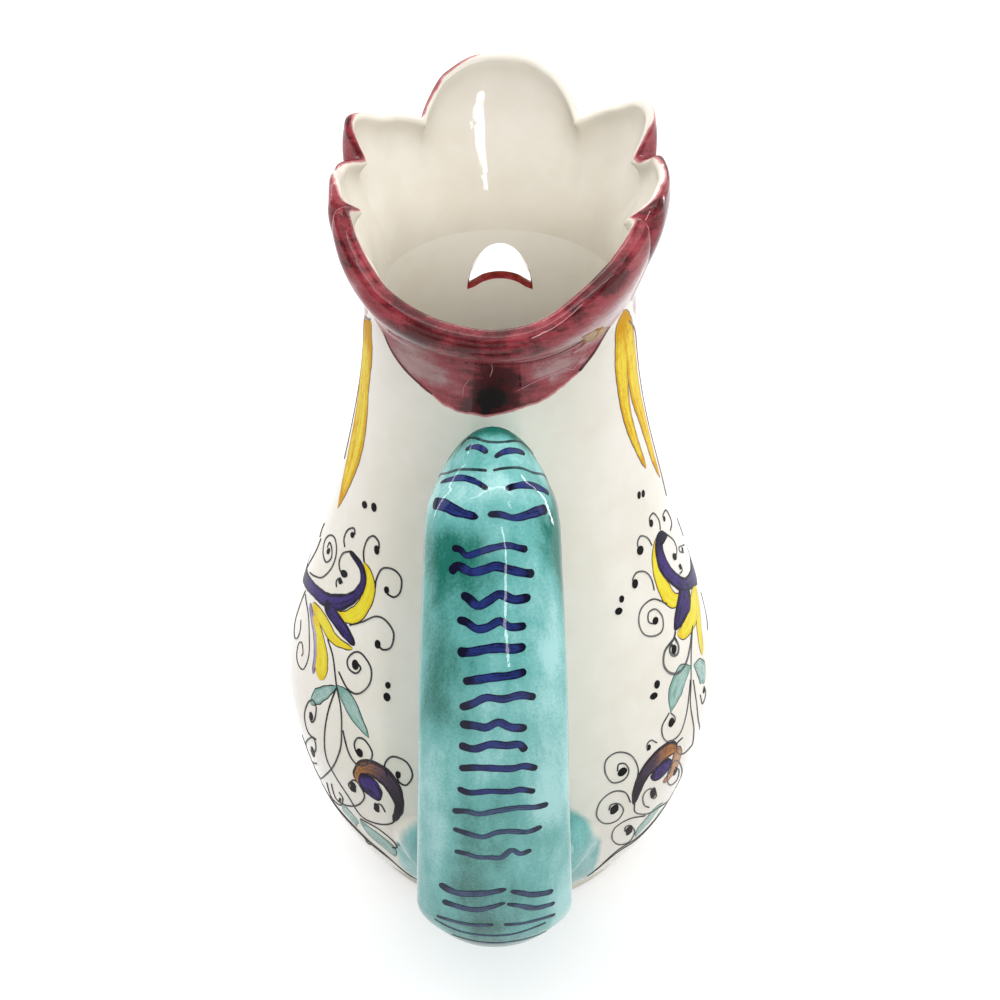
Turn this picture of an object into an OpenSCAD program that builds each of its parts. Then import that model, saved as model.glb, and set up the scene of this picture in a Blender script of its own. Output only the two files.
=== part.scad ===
// Glazed ceramic pitcher in the shape of a hen: a thrown body, a lobed comb round the mouth,
// an open beak over the pouring hole, two wattles and a wide tail that is the handle.
// +Z is up, the beak points along -Y, and the origin is the middle of the foot's underside.

/* [Body] */
// Outer radius of the foot ring
foot_r = 50; // [44:1:56]
// Height of the foot ring
foot_h = 7; // [5:0.5:10]
// Width of the rim that the pitcher stands on
foot_rim = 7; // [5:0.5:10]
// Largest outer radius of the belly
belly_r = 70; // [64:1:78]
// Height of the widest part of the belly
belly_z = 67; // [58:1:76]
// Outer radius of the neck
neck_r = 39; // [35:1:43]
// Height of the neck's upper edge, which carries the comb
neck_z = 210; // [198:1:222]
// Height of the straight collar at the top of the neck
collar_h = 3; // [1:0.5:5]
// Thickness of the wall
wall = 5; // [4:0.5:6]
// Thickness of the floor
floor_t = 6; // [5:0.5:8]
// Slope at which the belly leaves the foot
flare_angle = 20; // [12:1:28]

/* [Comb] */
// Height of the comb's front lobe above the neck
comb_h = 50; // [40:1:60]
// How far the comb's lobes lean out past the neck
comb_flare = 11; // [6:0.5:14]
// Thickness of the comb's rounded lip
lip_t = 5.5; // [4:0.5:7]

/* [Beak] */
// Width of the pouring hole
hole_w = 19.6; // [14:0.2:22]
// Height of the pouring hole, from its lower corners to its crown
hole_h = 16.5; // [12:0.5:18]
// Height of the hole's crown below the neck's upper edge
hole_drop = 5; // [4:0.5:8]
// Rise of the hole's lower edge at its middle
sill_rise = 3.8; // [2:0.2:7]
// Reach of the upper beak past the neck
beak_reach = 39; // [28:1:46]
// Fall of the upper beak from its root to its hooked tip
beak_fall = 19; // [12:1:24]
// Thickness of the beak's clay
beak_t = 3.5; // [2.5:0.5:4.5]
// Reach of the lower beak past the neck
jaw_reach = 22; // [14:1:28]
// Fall of the lower beak's trough from its root to its tip
jaw_fall = 15; // [12:1:20]

/* [Wattles] */
// Width of one wattle
wattle_w = 14; // [10:1:18]
// Length of one wattle
wattle_l = 29; // [20:1:34]
// Thickness of one wattle at its fullest point
wattle_t = 7; // [4:0.5:9]
// Distance between the middles of the two wattles
wattle_gap = 19; // [17:1:26]

/* [Tail handle] */
// Farthest distance of the handle's back from the pitcher's axis
grip_y = 112; // [102:1:122]
// Height at which the handle's back meets the neck
top_z = 186; // [178:1:192]
// Rise of the handle's crest above that point
crest_rise = 18.5; // [12:0.5:26]
// Height at which the handle's back meets the belly
root_z = 36; // [32:1:42]
// Width of the handle at its crest
crest_w = 25; // [22:0.5:34]
// Width of the handle at its broadest, near the foot
grip_w = 45.5; // [36:0.5:50]
// Thickness of the handle at the middle of the grip
grip_t = 14; // [10:0.5:15]
// Sideways lean of the handle, as the maker's hand set it
grip_x = 1.3; // [0:0.1:3]
// Width of the clay pad under the handle's lower end
pad_w = 66; // [58:1:72]
// Height of that pad
pad_h = 46; // [42:1:50]
// Height of the pad's middle above the handle's lower end
pad_rise = 10; // [8:1:12]
// Thickness of that pad at its middle
pad_t = 5; // [3:0.5:7]

/* [Hidden] */

// Clearance between a seated piece and the wall that carries it
seat = 0.25;
// Further clearance where the handle's flat end meets the pad's rounded face
end_bow = 0.2;
// Share of the pad, from its middle out, that is level to take the handle's end
pad_flat_share = 0.62;
// Extra length of a cut, so that it clears the wall
overrun = 8;
// Least thickness of a piece at its feathered edge
feather = 0.9;
// Length of the body's drawing handles, as shares of the height or width that they span
flare_pull_share = 0.66;
hip_pull_share = 0.227;
shoulder_pull_share = 0.223;
neck_pull_share = 0.395;
// Rows of the comb's rim: angle from the beak, share of the comb's height, share of its flare
rim_shares = [[0, 1, 0.95], [20, 0.93, 0.93], [34, 0.8, 0.9], [46, 0.76, 0.98], [58, 0.84, 1],
              [67, 0.81, 0.92], [78, 0.72, 0.72], [92, 0.72, 0.67], [104, 0.71, 0.72],
              [113, 0.73, 0.8], [122, 0.55, 0.83], [134, 0.43, 0.8], [152, 0.33, 0.76],
              [180, 0.28, 0.73], [200, 0.37, 0.73], [218, 0.53, 0.71], [232, 0.66, 0.7],
              [240, 0.73, 0.68], [254, 0.76, 0.66], [270, 0.74, 0.66], [284, 0.74, 0.7],
              [294, 0.86, 0.94], [303, 0.9, 1], [315, 0.81, 0.98], [327, 0.81, 0.9], [341, 0.94, 0.93]];
// Notches between the lobes: angle, share of the height cut down, share of the flare drawn in,
// angles over which the notch fades into the lobe before it and into the lobe after it
notch_shares = [[32, 0.11, 0.45, 15, 12], [68, 0.13, 0.5, 9, 12], [112, 0.04, 0.38, 14, 8],
                [240, 0.04, 0.3, 8, 14], [292, 0.13, 0.5, 12, 9], [328, 0.11, 0.45, 12, 15]];
// Back of the handle from the neck to the middle of the grip: share of the way out from the
// neck, share of the rise from the handle's lower end to its crest
upper_path_shares = [[0.11, 0.932], [0.3, 1], [0.534, 0.967], [0.74, 0.861], [0.93, 0.68], [1, 0.484]];
// The rest of that line: share of the way out from the belly wall, share of the rise
lower_path_shares = [[0.98, 0.307], [0.93, 0.153], [0.86, 0.083], [0.71, 0.035], [0.46, 0.008]];
// Section of the handle along its length: share of its length, share of the way from the
// crest's width to the grip's, share of the grip's thickness, crown as a share of the thickness
section_shares = [[0, 0.02, 1.05, 0.6], [0.167, 0, 1.08, 0.7], [0.25, 0.25, 1.1, 0.68],
                  [0.333, 0.48, 1.08, 0.58], [0.417, 0.64, 1.05, 0.48], [0.5, 0.79, 1, 0.4],
                  [0.583, 0.91, 1, 0.4], [0.667, 1, 1.05, 0.45], [0.75, 1, 1.15, 0.62],
                  [0.833, 0.96, 1.22, 0.75], [0.917, 0.92, 1.2, 0.7], [1, 0.9, 1.1, 0.6]];
// Counts of steps along curves
curve_steps = 14;
ring_step = 4;
flank_steps = 7;
lip_steps = 3;
path_steps = 3;
section_steps = 10;

// Point at t on the curve that starts at a, leaves towards b, arrives from c and ends at d
function curve(a, b, c, d, t) =
    pow(1 - t, 3) * a + 3 * pow(1 - t, 2) * t * b + 3 * (1 - t) * t * t * c + pow(t, 3) * d;
// Direction of that curve at t, one unit long
function heading(a, b, c, d, t) =
    let (v = pow(1 - t, 2) * (b - a) + 2 * (1 - t) * t * (c - b) + t * t * (d - c)) v / norm(v);
// Point t of the way from b to c on a smooth line that also passes through a and d
function smooth(a, b, c, d, t) =
    0.5 * (2 * b + t * (c - a) + t * t * (2 * a - 5 * b + 4 * c - d)
           + t * t * t * (3 * b - a - 3 * c + d));
// Value t of the way from a to b
function mix(a, b, t) = a + (b - a) * t;

// The two curves of the body's outer line, from the foot to the belly and on to the collar
hip = let (a = [foot_r, foot_h], d = [belly_r, belly_z])
    [a, a + flare_pull_share * (belly_r - foot_r) * [cos(flare_angle), sin(flare_angle)],
     d - [0, hip_pull_share * (belly_z - foot_h)], d];
shoulder = let (a = [belly_r, belly_z], d = [neck_r, neck_z - collar_h], rise = d[1] - a[1])
    [a, a + [0, shoulder_pull_share * rise], d - [0, neck_pull_share * rise], d];
// Points of one of these curves, moved inwards by a wall thickness
function side_line(c, inset, first) =
    [for (i = [first : curve_steps]) let (t = i / curve_steps,
        p = curve(c[0], c[1], c[2], c[3], t), v = heading(c[0], c[1], c[2], c[3], t))
        p + inset * [-v[1], v[0]]];
outer_line = concat(side_line(hip, 0, 0), side_line(shoulder, 0, 1), [[neck_r, neck_z]]);
floor_z = foot_h + floor_t;
inner_line = concat(
    [for (p = concat(side_line(hip, wall, 0), side_line(shoulder, wall, 1))) if (p[1] > floor_z) p],
    [[neck_r - wall, neck_z]]);
wall_table = [for (p = outer_line) [p[1], p[0]]];
// Outer radius of the body at a height
function wall_r(z) = lookup(z, wall_table);
// How far from the axis plane a point at x and z lies when it stands proud of the wall
function wall_y(x, z, proud) = sqrt(pow(wall_r(z) + proud, 2) - x * x);

// Closed solid between two grids of points that lie over each other
module sheet(front, back) {
    rows = len(front) - 1;
    cols = len(front[0]) - 1;
    n = (rows + 1) * (cols + 1);
    function f(i, j) = i * (cols + 1) + j;
    function g(i, j) = n + f(i, j);
    polyhedron(
        points = concat([for (r = front) each r], [for (r = back) each r]),
        faces = concat(
            [for (i = [0 : rows - 1], j = [0 : cols - 1])
                each [[f(i, j), f(i, j + 1), f(i + 1, j + 1)], [f(i, j), f(i + 1, j + 1), f(i + 1, j)],
                      [g(i, j), g(i + 1, j + 1), g(i, j + 1)], [g(i, j), g(i + 1, j), g(i + 1, j + 1)]]],
            [for (j = [0 : cols - 1])
                each [[f(0, j + 1), f(0, j), g(0, j)], [f(0, j + 1), g(0, j), g(0, j + 1)],
                      [f(rows, j), f(rows, j + 1), g(rows, j + 1)],
                      [f(rows, j), g(rows, j + 1), g(rows, j)]]],
            [for (i = [0 : rows - 1])
                each [[f(i, 0), f(i + 1, 0), g(i + 1, 0)], [f(i, 0), g(i + 1, 0), g(i, 0)],
                      [f(i + 1, cols), f(i, cols), g(i, cols)],
                      [f(i + 1, cols), g(i, cols), g(i + 1, cols)]]]),
        convexity = 6);
}

// Closed solid from a ring of closed sections
module ring(sections) {
    rows = len(sections);
    cols = len(sections[0]);
    function f(i, j) = (i % rows) * cols + j % cols;
    polyhedron(
        points = [for (s = sections) each s],
        faces = [for (i = [0 : rows - 1], j = [0 : cols - 1])
            each [[f(i, j), f(i, j + 1), f(i + 1, j + 1)], [f(i, j), f(i + 1, j + 1), f(i + 1, j)]]],
        convexity = 6);
}

// Foot: the turned ring that the pitcher stands on
module foot_ring() {
    color("linen") rotate_extrude($fn = 180)
        polygon([[foot_r - foot_rim, 0], [foot_r, 0], [foot_r, foot_h], [foot_r - foot_rim, foot_h]]);
}

// Outline of the pouring hole: an arch over a sill that rises at its middle
module hole_outline() {
    hole_z = neck_z - hole_drop - hole_h;
    polygon(concat(
        [for (a = [0 : 15 : 180]) [hole_w / 2 * cos(a), hole_z + hole_h * sin(a)]],
        [for (k = [-0.75 : 0.25 : 0.75]) [hole_w / 2 * k, hole_z + sill_rise * (1 - k * k)]]));
}

// Body: belly and neck thrown in one piece, with the pouring hole cut through the front
module body_shell() {
    color("white") difference() {
        rotate_extrude($fn = 180)
            polygon(concat([[0, foot_h]], outer_line,
                           [for (i = [len(inner_line) - 1 : -1 : 0]) inner_line[i]], [[0, floor_z]]));
        rotate([90, 0, 0]) linear_extrude(height = neck_r + overrun) hole_outline();
    }
}

// Angle between two directions round the rim
function turn(a, b) = abs((a - b + 540) % 360 - 180);
// Value in one column of the rim's rows at an angle, on a smooth closed line through them
function rim_value(a, col) =
    let (n = len(rim_shares), i = max([for (k = [0 : n - 1]) if (rim_shares[k][0] <= a) k]),
         a0 = rim_shares[i][0], a1 = i == n - 1 ? 360 : rim_shares[i + 1][0])
    smooth(rim_shares[(i + n - 1) % n][col], rim_shares[i][col], rim_shares[(i + 1) % n][col],
           rim_shares[(i + 2) % n][col], (a - a0) / (a1 - a0));
// Depth of the notches in one column at an angle: full at each notch, nothing past its spans
function notch_value(a, col) =
    [for (n = notch_shares) let (span = (a - n[0] + 360) % 360 < 180 ? n[4] : n[3])
        n[col] * pow(max(0, 1 - turn(a, n[0]) / span), 2)]
    * [for (n = notch_shares) 1];
// Closed section of the comb at an angle: up the outside, over the lip and down the inside
function comb_section(a) =
    let (reach = comb_flare * (rim_value(a, 2) - notch_value(a, 2)),
         top = comb_h * (rim_value(a, 1) - notch_value(a, 1)) - lip_t / 2,
         flank = [for (k = [0 : flank_steps]) let (s = k / flank_steps)
             [neck_r + reach * sin(90 * s), neck_z + top * s, mix(wall, lip_t, s)]],
         lip = [for (k = [1 : lip_steps]) let (b = 180 * k / (lip_steps + 1))
             [neck_r + reach - lip_t / 2 * (1 - cos(b)), neck_z + top + lip_t / 2 * sin(b)]],
         line = concat([for (p = flank) [p[0], p[1]]], lip,
             [for (k = [flank_steps : -1 : 0]) [flank[k][0] - flank[k][2], flank[k][1]]]))
    [for (p = line) [p[0] * sin(a), -p[0] * cos(a), p[1]]];

// Comb: one front lobe, two on each side and a long rear lobe that dips to the pouring-in lip
module comb_crown() {
    color("firebrick") ring([for (a = [0 : ring_step : 360 - ring_step]) comb_section(a)]);
}

// Upper beak: a hood over the hole that narrows to a hooked tip
module upper_beak() {
    hood_w = hole_w / 2 + beak_t + seat;
    crown_z = neck_z - hole_drop + beak_t + seat;
    edge_z = crown_z - hole_h;
    tip = [neck_r + beak_reach, crown_z - beak_fall];
    crown = [[neck_r, crown_z], [neck_r + beak_reach / 2, crown_z + beak_t / 2],
             [neck_r + beak_reach, crown_z - beak_fall / 3], tip];
    function hood(u, b, inset) =
        let (c = curve(crown[0], crown[1], crown[2], crown[3], u),
             edge = mix(edge_z, tip[1] - beak_t / 2, u),
             half = (hood_w - beak_t / 2) * pow(1 - u, 0.7) + beak_t / 2 - inset,
             x = half * sin(b),
             z = edge + (c[1] - inset - edge) * pow(cos(b), 0.8),
             y = mix(wall_y(x, z, seat), c[0] - inset * u, u))
        [x, -y, z];
    us = [for (k = [0 : 8]) k / 8];
    bs = [for (k = [-6 : 6]) 15 * k];
    color("goldenrod") sheet(
        [for (u = us) [for (b = bs) hood(u, b, 0)]],
        [for (u = us) [for (b = bs) hood(u, b, mix(beak_t, beak_t / 3, u))]]);
}

// Lower beak: a short trough that falls away below the hole
module lower_beak() {
    jaw_w = hole_w / 2 + beak_t;
    jaw_z = neck_z - hole_drop - hole_h - beak_t;
    rise = jaw_w / 2;
    function trough(u, k, drop) =
        let (x = k * mix(jaw_w, beak_t, u * u),
             z = jaw_z - jaw_fall * u - drop + rise * mix(1, 0.4, u) * (k * k - 1),
             y = mix(wall_y(x, z, seat), neck_r + jaw_reach * (1 - 0.25 * k * k), u))
        [x, -y, z];
    us = [for (k = [0 : 6]) k / 6];
    ks = [for (k = [-6 : 6]) k / 6];
    color("goldenrod") sheet(
        [for (u = us) [for (k = ks) trough(u, k, 0)]],
        [for (u = us) [for (k = ks) trough(u, k, mix(beak_t, beak_t * 0.7, u))]]);
}

// One wattle: a drop of clay that hangs on the wall at a side of the throat
module wattle(side) {
    start_z = neck_z - hole_drop - hole_h - beak_t - wattle_w;
    function drop(u, k, proud) =
        let (full = sin(180 * pow(mix(0.05, 0.98, u), 1.4)),
             x = side * wattle_gap / 2 + k * wattle_w / 2 * pow(full, 0.6),
             z = start_z - wattle_l * u)
        [x, -wall_y(x, z, seat + proud * (feather + (wattle_t - feather) * full * (1 - k * k))), z];
    us = [for (k = [0 : 12]) k / 12];
    ks = [for (k = [-5 : 5]) k / 5];
    color("firebrick") sheet(
        [for (u = us) [for (k = ks) drop(u, k, 1)]],
        [for (u = us) [for (k = ks) drop(u, k, 0)]]);
}
module wattle_left() { wattle(1); }
module wattle_right() { wattle(-1); }

// How far the handle's pad stands proud of the wall at x and z
function pad_proud(x, z) =
    let (d = pow(2 * (x - grip_x) / pad_w, 2) + pow(2 * (z - root_z - pad_rise) / pad_h, 2))
    seat + feather + (pad_t - feather) * pow(min(1, max(0, 1 - d) / (1 - pad_flat_share)), 1.2);

// Pad: clay spread on the belly to take the handle's lower end
module handle_pad() {
    function disc(r, a, proud) =
        let (x = grip_x + pad_w / 2 * r * cos(a), z = root_z + pad_rise + pad_h / 2 * r * sin(a))
        [x, wall_y(x, z, proud ? pad_proud(x, z) : seat), z];
    bs = [for (k = [0 : 12]) -90 + 15 * k];
    us = [for (k = [0 : 12]) k / 6 - 1];
    // Rows run from the pad's left edge to its right, each from its lower edge to its upper
    function cell(u, b, proud) =
        let (w = sin(90 * u), h = sqrt(max(0.02, 1 - w * w)) * sin(b))
        disc(sqrt(w * w + h * h), atan2(h, w), proud);
    color("mediumaquamarine") sheet(
        [for (u = us) [for (b = bs) cell(u, b, false)]],
        [for (u = us) [for (b = bs) cell(u, b, true)]]);
}

// Back of the handle as a list of points [y, z], from the neck to the belly
belly_y = wall_r(root_z);
crest_z = top_z + crest_rise;
back_line = concat(
    [[wall_r(top_z), top_z]],
    [for (p = upper_path_shares) [mix(neck_r, grip_y, p[0]), mix(root_z, crest_z, p[1])]],
    [for (p = lower_path_shares) [mix(belly_y, grip_y, p[0]), mix(root_z, crest_z, p[1])]],
    [[belly_y + seat + pad_t, root_z]]);
// The same line with a point before its start and one after its end
long_line = let (n = len(back_line))
    concat([2 * back_line[0] - back_line[1]], back_line, [2 * back_line[n - 1] - back_line[n - 2]]);
path = concat(
    [for (i = [1 : len(long_line) - 3], k = [0 : path_steps - 1])
        smooth(long_line[i - 1], long_line[i], long_line[i + 1], long_line[i + 2], k / path_steps)],
    [back_line[len(back_line) - 1]]);
// Value in one column of the handle's section rows, a share t of the way along it
function section_value(t, col) = lookup(t, [for (r = section_shares) [r[0], r[col]]]);

// Handle: a wide strap with a crowned back, from the neck out over the grip to the belly
module tail_handle() {
    last = len(path) - 1;
    // Point of ring i at angle b across the strap, on its back or on its underside
    function strap(i, b, back) =
        let (t = i / last, v = path[min(i + 1, last)] - path[max(i - 1, 0)],
             x = grip_x + mix(crest_w, grip_w, section_value(t, 1)) / 2 * sin(b),
             thick = grip_t * section_value(t, 2), crown = thick * section_value(t, 3),
             depth = back ? crown * pow(sin(b), 2) : mix(crown, thick, pow(cos(b), 0.4)),
             p = path[i] - depth * [-v[1], v[0]] / norm(v))
        i == 0 ? [x, wall_y(x, p[1], seat), p[1]]
        : i == last ? [x, wall_y(x, p[1], seat + end_bow + pad_proud(x, p[1])), p[1]]
        : [x, p[0], p[1]];
    bs = [for (k = [0 : section_steps]) 84 * (2 * k / section_steps - 1)];
    color("mediumaquamarine") sheet(
        [for (i = [0 : last]) [for (b = bs) strap(i, b, false)]],
        [for (i = [0 : last]) [for (b = bs) strap(i, b, true)]]);
}

foot_ring();
body_shell();
comb_crown();
upper_beak();
lower_beak();
wattle_left();
wattle_right();
handle_pad();
tail_handle();
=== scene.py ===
import bpy
import numpy as np
from mathutils import Matrix, Vector


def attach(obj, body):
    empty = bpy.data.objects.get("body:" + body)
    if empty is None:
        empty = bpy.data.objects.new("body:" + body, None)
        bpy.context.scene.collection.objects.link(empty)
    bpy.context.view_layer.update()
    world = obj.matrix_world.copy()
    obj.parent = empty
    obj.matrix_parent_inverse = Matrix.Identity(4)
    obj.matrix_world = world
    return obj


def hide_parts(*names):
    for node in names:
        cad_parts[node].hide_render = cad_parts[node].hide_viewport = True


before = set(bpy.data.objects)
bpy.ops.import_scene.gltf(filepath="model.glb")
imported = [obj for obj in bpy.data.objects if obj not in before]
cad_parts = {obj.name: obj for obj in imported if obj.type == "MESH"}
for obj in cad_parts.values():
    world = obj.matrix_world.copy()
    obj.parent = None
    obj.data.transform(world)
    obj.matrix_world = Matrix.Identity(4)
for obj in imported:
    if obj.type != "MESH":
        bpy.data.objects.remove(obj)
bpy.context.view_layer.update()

# Sizes in millimetres, the same as the solids' own
FOOT_R = 50.0
FOOT_H = 7.0
FOOT_RIM = 7.0
BELLY_R = 70.0
BELLY_Z = 67.0
NECK_R = 39.0
NECK_Z = 210.0
COLLAR_H = 3.0
WALL = 5.0
FLOOR_T = 6.0
FLARE = np.radians(20.0)
COMB_H = 50.0
COMB_FLARE = 11.6
HOLE_W = 19.6
HOLE_H = 16.5
HOLE_DROP = 5.0
SILL_RISE = 4.6
BEAK_REACH = 39.0
BEAK_FALL = 19.0
BEAK_T = 3.5
JAW_REACH = 22.0
JAW_FALL = 15.0
WATTLE_W = 14.0
WATTLE_L = 29.0
WATTLE_T = 7.0
WATTLE_GAP = 19.0
GRIP_Y = 112.0
TOP_Z = 186.0
CREST_Z = 204.5
ROOT_Z = 36.0
CREST_W = 25.0
GRIP_W = 45.5
GRIP_T = 14.0
GRIP_X = 1.3
PAD_W = 66.0
PAD_H = 46.0
PAD_RISE = 10.0
PAD_T = 5.0

# Heights of the sill's ends, of the spot in the pouring hole that its rays start from, and of the floor
HOLE_Z = NECK_Z - HOLE_DROP - HOLE_H
HOLE_MID = 197.0
FLOOR_Z = FOOT_H + FLOOR_T
# How deep in the wall the beak and the wattles stand, the pad, and the strap
SUNK = 0.4
PAD_SUNK = 0.5
STRAP_SUNK = 0.6
# Counts as how far past a painted edge a point is where there is none of that paint
UNPAINTED = -9.0

# The comb's rim: angle from the beak, share of the comb's height, share of its flare
RIM = np.array([
    [0, 1, 0.95], [10, 0.985, 0.94], [20, 0.9, 0.9], [27, 0.79, 0.86], [34, 0.735, 0.86],
    [45, 0.745, 0.96], [58, 0.835, 1], [64, 0.81, 0.98], [70, 0.7, 0.8], [78, 0.665, 0.76],
    [86, 0.7, 0.72], [96, 0.72, 0.7], [104, 0.7, 0.76], [112, 0.71, 0.82], [118, 0.6, 0.84],
    [125, 0.5, 0.82], [135, 0.4, 0.8], [150, 0.33, 0.76], [165, 0.29, 0.74], [180, 0.28, 0.73],
    [195, 0.325, 0.73], [209, 0.44, 0.72], [224, 0.55, 0.68], [234, 0.62, 0.64], [242, 0.7, 0.62],
    [250, 0.735, 0.66], [259, 0.76, 0.66], [270, 0.75, 0.66], [282, 0.74, 0.68], [289, 0.71, 0.74],
    [296, 0.85, 0.96], [304, 0.9, 1], [315, 0.81, 0.98], [326, 0.74, 0.88], [333, 0.8, 0.86],
    [341, 0.91, 0.9], [350, 0.985, 0.94]])
# Notches between its lobes: angle, share of the height, share of the flare, spans before and after
NOTCHES = [
    (32, 0.035, 0.42, 12, 10), (68, 0.07, 0.45, 8, 8), (109, 0.05, 0.38, 7, 4),
    (243, 0.05, 0.3, 4, 8), (292, 0.09, 0.48, 8, 8), (328, 0.035, 0.42, 10, 12)]
# The handle's back: shares of the way out and of the rise
UPPER_LINE = [(0.11, 0.932), (0.3, 1), (0.534, 0.967), (0.74, 0.861), (0.93, 0.68), (1, 0.484)]
LOWER_LINE = [(0.98, 0.307), (0.93, 0.153), (0.86, 0.083), (0.71, 0.035), (0.46, 0.008)]
# The handle's section: share of its length, of its width, of its thickness, and its crown
SECTION = np.array([
    [0, 0.02, 1.05, 0.6], [0.083, 0.17, 1.08, 0.75], [0.167, 0.23, 1.1, 0.95], [0.21, 0.29, 1.1, 0.92],
    [0.25, 0.44, 1.1, 0.8], [0.29, 0.52, 1.09, 0.7], [0.333, 0.56, 1.08, 0.62], [0.417, 0.7, 1.05, 0.5],
    [0.5, 0.78, 1, 0.4], [0.583, 0.9, 1, 0.4], [0.667, 1, 1.05, 0.45], [0.75, 1, 1.15, 0.62],
    [0.833, 0.96, 1.22, 0.75], [0.917, 0.92, 1.2, 0.7], [1, 0.9, 1.1, 0.6]])


def mix(a, b, t):
    """Value t of the way from a to b."""
    return a + (b - a) * t


def bezier(pulls, t):
    """Points at t on the cubic curve drawn by four pulls."""
    a, b, c, d = pulls
    t = t[:, None]
    return (1 - t) ** 3 * a + 3 * (1 - t) ** 2 * t * b + 3 * (1 - t) * t * t * c + t ** 3 * d


def heading(pulls, t):
    """Directions of that curve at t, each one unit long."""
    a, b, c, d = pulls
    t = t[:, None]
    way = (1 - t) ** 2 * (b - a) + 2 * (1 - t) * t * (c - b) + t * t * (d - c)
    return way / np.linalg.norm(way, axis=1, keepdims=True)


def cubic(a, b, c, d, k):
    """Point k of the way from b to c on the cubic that heads at b from a to c and at c from b to d."""
    return 0.5 * (2 * b + k * (c - a) + k * k * (2 * a - 5 * b + 4 * c - d)
                  + k ** 3 * (3 * b - a - 3 * c + d))


def smooth(points, t):
    """Smooth open line through the points, at places t counted in points from the first."""
    p = np.asarray(points, float)
    p = np.vstack([2 * p[0] - p[1], p, 2 * p[-1] - p[-2]])
    i = np.clip(np.floor(t).astype(int), 0, len(p) - 4)
    k = (t - i)[:, None]
    return cubic(p[i], p[i + 1], p[i + 2], p[i + 3], k)


def round_axis(radius, a, z):
    """Points at a radius, an angle from the beak in radians, and a height."""
    return np.stack([radius * np.sin(a), -radius * np.cos(a), z + 0 * a], axis=-1)


def angle_of(points):
    """The points' angles from the beak, in degrees."""
    return np.degrees(np.arctan2(points[:, 0], -points[:, 1])) % 360


def at_length(line, far, at):
    """Points on a line of two numbers a row at the lengths at, where far holds each row's own length."""
    return np.stack([np.interp(at, far, line[:, 0]), np.interp(at, far, line[:, 1])], axis=1)


def mesh_from(name, points, quads, tris):
    """A mesh of quads and triangles from whole arrays of points, in metres, and corner numbers."""
    mesh = bpy.data.meshes.new(name)
    corners = np.concatenate([quads.ravel(), tris.ravel()])
    starts = np.concatenate([4 * np.arange(len(quads)), 4 * len(quads) + 3 * np.arange(len(tris))])
    mesh.vertices.add(len(points))
    mesh.vertices.foreach_set("co", points.ravel())
    mesh.loops.add(len(corners))
    mesh.loops.foreach_set("vertex_index", corners)
    mesh.polygons.add(len(starts))
    mesh.polygons.foreach_set("loop_start", starts)
    mesh.update(calc_edges=True)
    return mesh


def new_object(name, data):
    """An object of the scene that holds the data."""
    thing = bpy.data.objects.new(name, data)
    bpy.context.scene.collection.objects.link(thing)
    return thing


def signed_volume(points, faces):
    """Sum of the signed tetrahedra that the faces make with the origin, as fans from a corner."""
    total = 0.0
    for k in range(1, faces.shape[1] - 1):
        a = points[faces[:, 0]]
        b = points[faces[:, k]]
        c = points[faces[:, k + 1]]
        total += np.einsum("ij,ij->", a, np.cross(b, c)) / 6
    return total


NO_TRIS = np.zeros((0, 3), int)


def piece(name, points, quads, material, nodes=(), tris=NO_TRIS, values=None, flat=(), crease=()):
    """A closed surface in millimetres made a piece of the pitcher. Its faces are turned over if the
    volume that they enclose comes out negative. values are numbers kept at its points by name, flat
    marks the faces that aren't shaded smooth, and crease the points along whose edges shading breaks."""
    points = points.reshape(-1, 3) * 0.001
    if signed_volume(points, quads) + signed_volume(points, tris) < 0:
        quads = quads[:, ::-1]
        tris = tris[:, ::-1]
    mesh = mesh_from(name, points, quads, tris)
    even = np.ones(len(mesh.polygons), bool)
    even[:len(flat)] = np.logical_not(flat)
    mesh.polygons.foreach_set("use_smooth", even)
    at_crease = np.zeros(len(points), bool)
    at_crease[np.asarray(crease, int)] = True
    ends = np.zeros(2 * len(mesh.edges), np.int32)
    mesh.edges.foreach_get("vertices", ends)
    sharp = at_crease[ends.reshape(-1, 2)].all(axis=1)
    edge_of = np.zeros(len(mesh.loops), np.int32)
    mesh.loops.foreach_get("edge_index", edge_of)
    corners = np.repeat([4, 3], [len(quads), len(tris)])
    sharp[edge_of[~np.repeat(even, corners)]] = True
    layer = mesh.attributes.new("sharp_edge", "BOOLEAN", "EDGE")
    layer.data.foreach_set("value", sharp)
    for key, numbers in (values or {}).items():
        layer = mesh.attributes.new(key, "FLOAT", "POINT")
        layer.data.foreach_set("value", np.ascontiguousarray(numbers, np.float32).ravel())
    mesh.materials.append(material)
    thing = new_object(name, mesh)
    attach(thing, "root")
    if nodes:
        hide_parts(*nodes)


def grid_quads(rows, cols, wrap_rows=False, wrap_cols=False):
    """Corner numbers of the quads between neighbours in a grid numbered row by row."""
    i = np.arange(rows if wrap_rows else rows - 1)[:, None]
    j = np.arange(cols if wrap_cols else cols - 1)[None, :]
    up = (i + 1) % rows
    on = (j + 1) % cols
    return np.stack([i * cols + j, i * cols + on, up * cols + on, up * cols + j], axis=-1).reshape(-1, 4)


def fan(ring, centre):
    """Triangles from a closed ring of corner numbers to one point."""
    return np.stack([ring, np.roll(ring, -1), np.full(len(ring), centre)], axis=-1)


def caps(first, last, n):
    """Triangles that close a surface: from its first ring to point n and from its last to the next."""
    return np.vstack([fan(first, n)[:, ::-1], fan(last, n + 1)])


def rolled_quads(rings):
    """Quads between neighbouring closed rings of corner numbers."""
    a = rings[:-1]
    b = rings[1:]
    return np.stack([a, np.roll(a, -1, axis=1), np.roll(b, -1, axis=1), b], axis=-1).reshape(-1, 4)


# The body's outline: two cubic curves and a straight collar

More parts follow.
